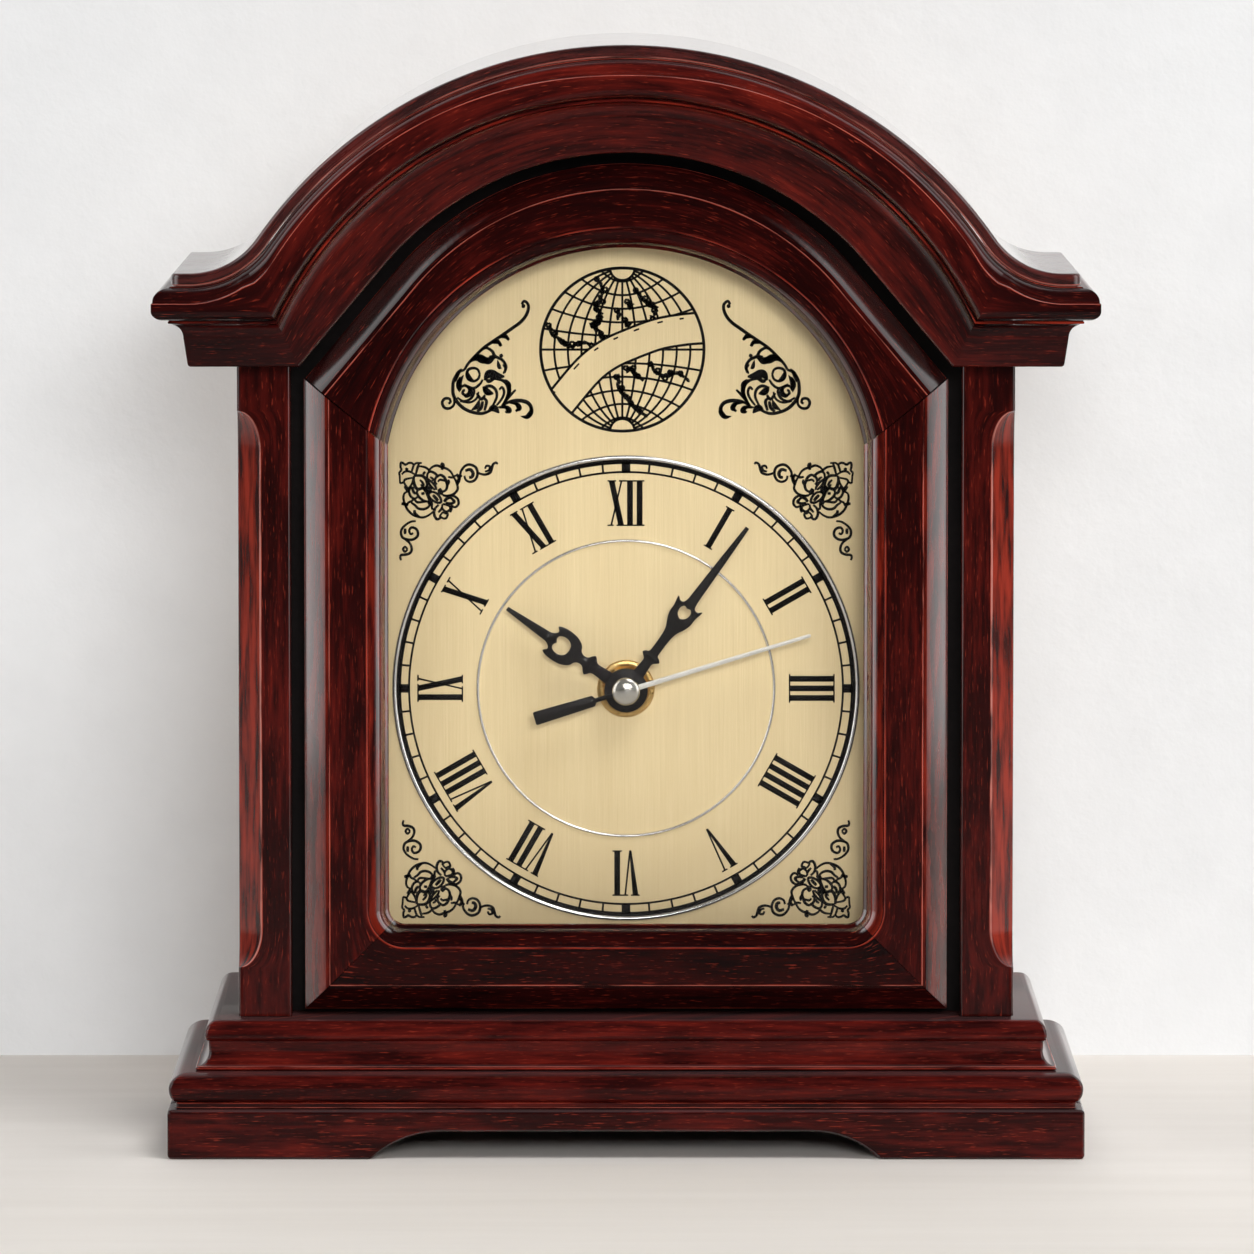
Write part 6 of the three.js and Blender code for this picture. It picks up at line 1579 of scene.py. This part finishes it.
handSize = {"thickness": 0.5, "arris": 0.09, "hub": (5.3, 1.6), "steps": 7}  # hub: radius, half of its gap
hourSize = {
    "lift": 4.2,
    "turn": 304.6,
    "bore": 2.56,
    "half": (  # half width and reach from the hub to the point
        (1.55, 5.1), (1.35, 8.2), (1.45, 9.4), (2.15, 10.1), (2.65, 10.7), (2.15, 11.4), (1.25, 12.2), (1.15, 13.4),
        (1.7, 14.3), (2.9, 15.0), (3.9, 16.8), (4.2, 19.0), (4.05, 21.0), (3.5, 22.3), (2.6, 21.6), (1.9, 21.9),
        (1.25, 23.0), (1.2, 24.0), (0.5, 35.2),
    ),
    "eye": ((0.0, 20.5), (0.9, 21.0), (1.75, 20.7), (2.2, 19.6), (2.1, 18.3), (1.3, 17.2), (0.0, 16.9)),
}
minuteSize = {
    "lift": 5.8,
    "turn": 36.6,
    "bore": 1.71,
    "half": (
        (1.45, 5.1), (1.25, 8.0), (1.3, 9.0), (1.9, 9.6), (2.5, 10.2), (1.95, 10.9), (1.2, 11.6), (1.2, 16.0),
        (1.6, 18.4), (2.5, 20.2), (3.1, 22.0), (3.15, 23.8), (3.6, 26.3), (2.6, 25.7), (1.7, 25.9), (1.3, 27.0),
        (1.2, 28.4), (0.85, 40.0), (0.5, 49.6),
    ),
    "eye": ((0.0, 24.9), (0.8, 25.2), (1.4, 24.6), (1.5, 23.7), (1.1, 22.6), (0.0, 21.9)),
}
secondSize = {
    "lift": 7.2,
    "turn": 73.1,
    "hub": 2.5,
    "needle": (0.66, 0.42, 47.0),  # half width at the hub and near the point, reach
    "point": (0.6, 0.4),  # share of the width left at the point, length of it
    "neck": (0.55, 2.2, 7.8),  # half width, start and end
    "tail": ((1.0, 8.0), (1.35, 8.3), (1.65, 23.0), (1.35, 23.3)),  # half width and reach
}


def flatPlate(name, loops):  # closed outlines filled, thickened and softened, as points and faces
    thickness, arris = handSize["thickness"], handSize["arris"]
    flat = bpy.data.curves.new(name, "CURVE")
    flat.dimensions, flat.fill_mode = "2D", "BOTH"
    flat.extrude, flat.bevel_depth, flat.bevel_resolution = thickness / 2 - arris, arris, 1
    flat.offset = -arris
    for loop in loops:
        line = flat.splines.new("POLY")
        line.points.add(len(loop) - 1)
        line.points.foreach_set("co", np.concatenate([loop, np.tile([0.0, 1.0], (len(loop), 1))], axis=1).ravel())
        line.use_cyclic_u = True
    holder = bpy.data.objects.new(name, flat)
    mesh = bpy.data.meshes.new_from_object(holder)
    points = np.empty(3 * len(mesh.vertices))
    mesh.vertices.foreach_get("co", points)
    faces = [list(face.vertices) for face in mesh.polygons]
    bpy.data.meshes.remove(mesh)
    bpy.data.objects.remove(holder)
    bpy.data.curves.remove(flat)
    return points.reshape(-1, 3), faces


def handPlate(name, loops, hand):  # a flat plate set on the clock at its hand's height and turn
    points, faces = flatPlate(name, loops)
    across, along, height = points.T
    x, z = clockwise(across, along, hand["turn"])
    depth = dialSize["face"] - hand["lift"] - (height + handSize["thickness"] / 2)
    return surface(name, asPoints(x, depth, dialSize["axis"] + z), faces)


def hubArc(radius, gap):  # the round of a hub, from one side of the blade the long way to the other
    start = math.asin(gap / radius)
    return onCircle(radius, np.linspace(start, 2 * math.pi - start, 48))[::-1]


def piercedHand(name, hand, body, node):
    half, eye = (smoothPath(hand[key], handSize["steps"]) for key in ("half", "eye"))
    blade = np.concatenate([half[::-1] * [-1, 1], hubArc(*handSize["hub"]), half])
    bore = onCircle(hand["bore"], np.linspace(0, 2 * math.pi, 48, endpoint=False))
    piece = handPlate(name, [blade, np.concatenate([eye, eye[-2:0:-1] * [-1, 1]]), bore], hand)
    return dress(piece, "handBlack", body, [node])


def secondHand():  # a silver needle and a black counterweight on one hub
    wide, point, reach = secondSize["needle"]
    share, length = secondSize["point"]
    half = np.array([[wide, secondSize["hub"]], [point, reach - length], [share * point, reach]])
    needle = np.concatenate([hubArc(secondSize["hub"], wide), half, half[::-1] * [-1, 1]])
    dress(handPlate("secondNeedle", [needle], secondSize), "needleMetal", "second", ["second_hand"])
    neck, start, end = secondSize["neck"]
    half = np.array([[neck, start], [neck, end], *secondSize["tail"]])
    tail = np.concatenate([half, half[::-1] * [-1, 1]]) * [1, -1]
    dress(handPlate("secondTail", [tail], secondSize), "handBlack", "second")


washerSize = {
    "bore": 4.15,
    "dish": ((2.0, 0.35), (1.7, 0.1), (1.3, 0.0), (0.5, 0.0), (0.15, 0.12), (0.0, 0.4)),  # in from the rim, back
}
capSize = {"skirt": 0.5, "fullness": 0.9}


def fittings():
    centre = (0, dialSize["axis"])
    low, high = cadBox("brass_washer")
    rim, seat, crest, bore = (high[0] - low[0]) / 2, high[1], low[1], washerSize["bore"]
    dish = [(rim - inset, crest + back) for inset, back in washerSize["dish"]]
    profile = [(bore, seat), (bore, dish[0][1]), *dish, (rim, seat), (bore, seat)]
    dress(turned("stemWasher", profile, centre, 128), "brass", nodes=["brass_washer"])
    low, high = cadBox("second_hand_cap")
    radius, front, back = (high[0] - low[0]) / 2, low[1], high[1]
    turn = quarter(14)
    skirt = back - capSize["skirt"]
    dome = asPoints(radius * np.sin(turn) ** capSize["fullness"], skirt + (front - skirt) * np.cos(turn))
    profile = np.concatenate([dome, [[radius, back], [0, back]]])
    dress(turned("handCap", profile, centre), "capMetal", "second", ["second_hand_cap"])


piercedHand("hourHand", hourSize, "hour", "hour_hand")
piercedHand("minuteHand", minuteSize, "minute", "minute_hand")
secondHand()
fittings()
print("hands set")


# the CAD nodes that stay

cellSize = {"round": 0.7, "nubRadius": 2.75, "nubLength": 1.3, "nubArris": 0.3}


def cellBody():  # a turned can with rounded ends and a nub, lying along X
    (x0, y0, z0), (x1, y1, z1) = cadBox("cell")
    ease, nub, arris = (cellSize[key] for key in ("round", "nubRadius", "nubArris"))
    radius, end, turn = (z1 - z0) / 2, x1 - cellSize["nubLength"], quarter(6)
    low = asPoints(radius - ease * (1 - np.sin(turn)), x0 + ease * (1 - np.cos(turn)))
    high = asPoints(low[::-1, 0], end + x0 - low[::-1, 1])
    tip = [[nub, end], [nub, x1 - arris], [nub - arris, x1], [0, x1]]
    profile = np.concatenate([[[0, x0]], low, high, tip])
    piece = turned("cellBody", profile, ((y0 + y1) / 2, (z0 + z1) / 2), 64, axes=(1, 0, 2))
    return dress(piece, "cell", nodes=["cell"])


cellBody()
keptFinishes = {
    "lacquerZ": ["side_panel_left", "side_panel_right"],
    "blackBoard": ["front_board"],
    "rawBoard": ["back_panel", "back_cleat_left", "back_cleat_right", "dial_board"],
    "brass": [*(f"back_screw_{i}" for i in range(1, 5)), "hex_nut", "setting_arbor", "centre_wheel", "third_wheel"],
    "pane": ["glass_pane"],
    "gilt": ["dial_plate"],
    "nylon": ["hour_wheel", "second_wheel", "transfer_wheel", "rotor"],
    "steel": ["stator", "coil_core", "contact_minus", "contact_plus"],
    "copper": ["drive_coil"],
    "circuit": ["circuit_board"],
    "blackPlastic": ["movement_housing", "movement_cover", "setting_knob"],
    "rubber": ["gasket"],
}
for finish, nodes in keptFinishes.items():
    for node in nodes:
        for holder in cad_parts[node].material_slots:
            holder.material = finishes[finish]
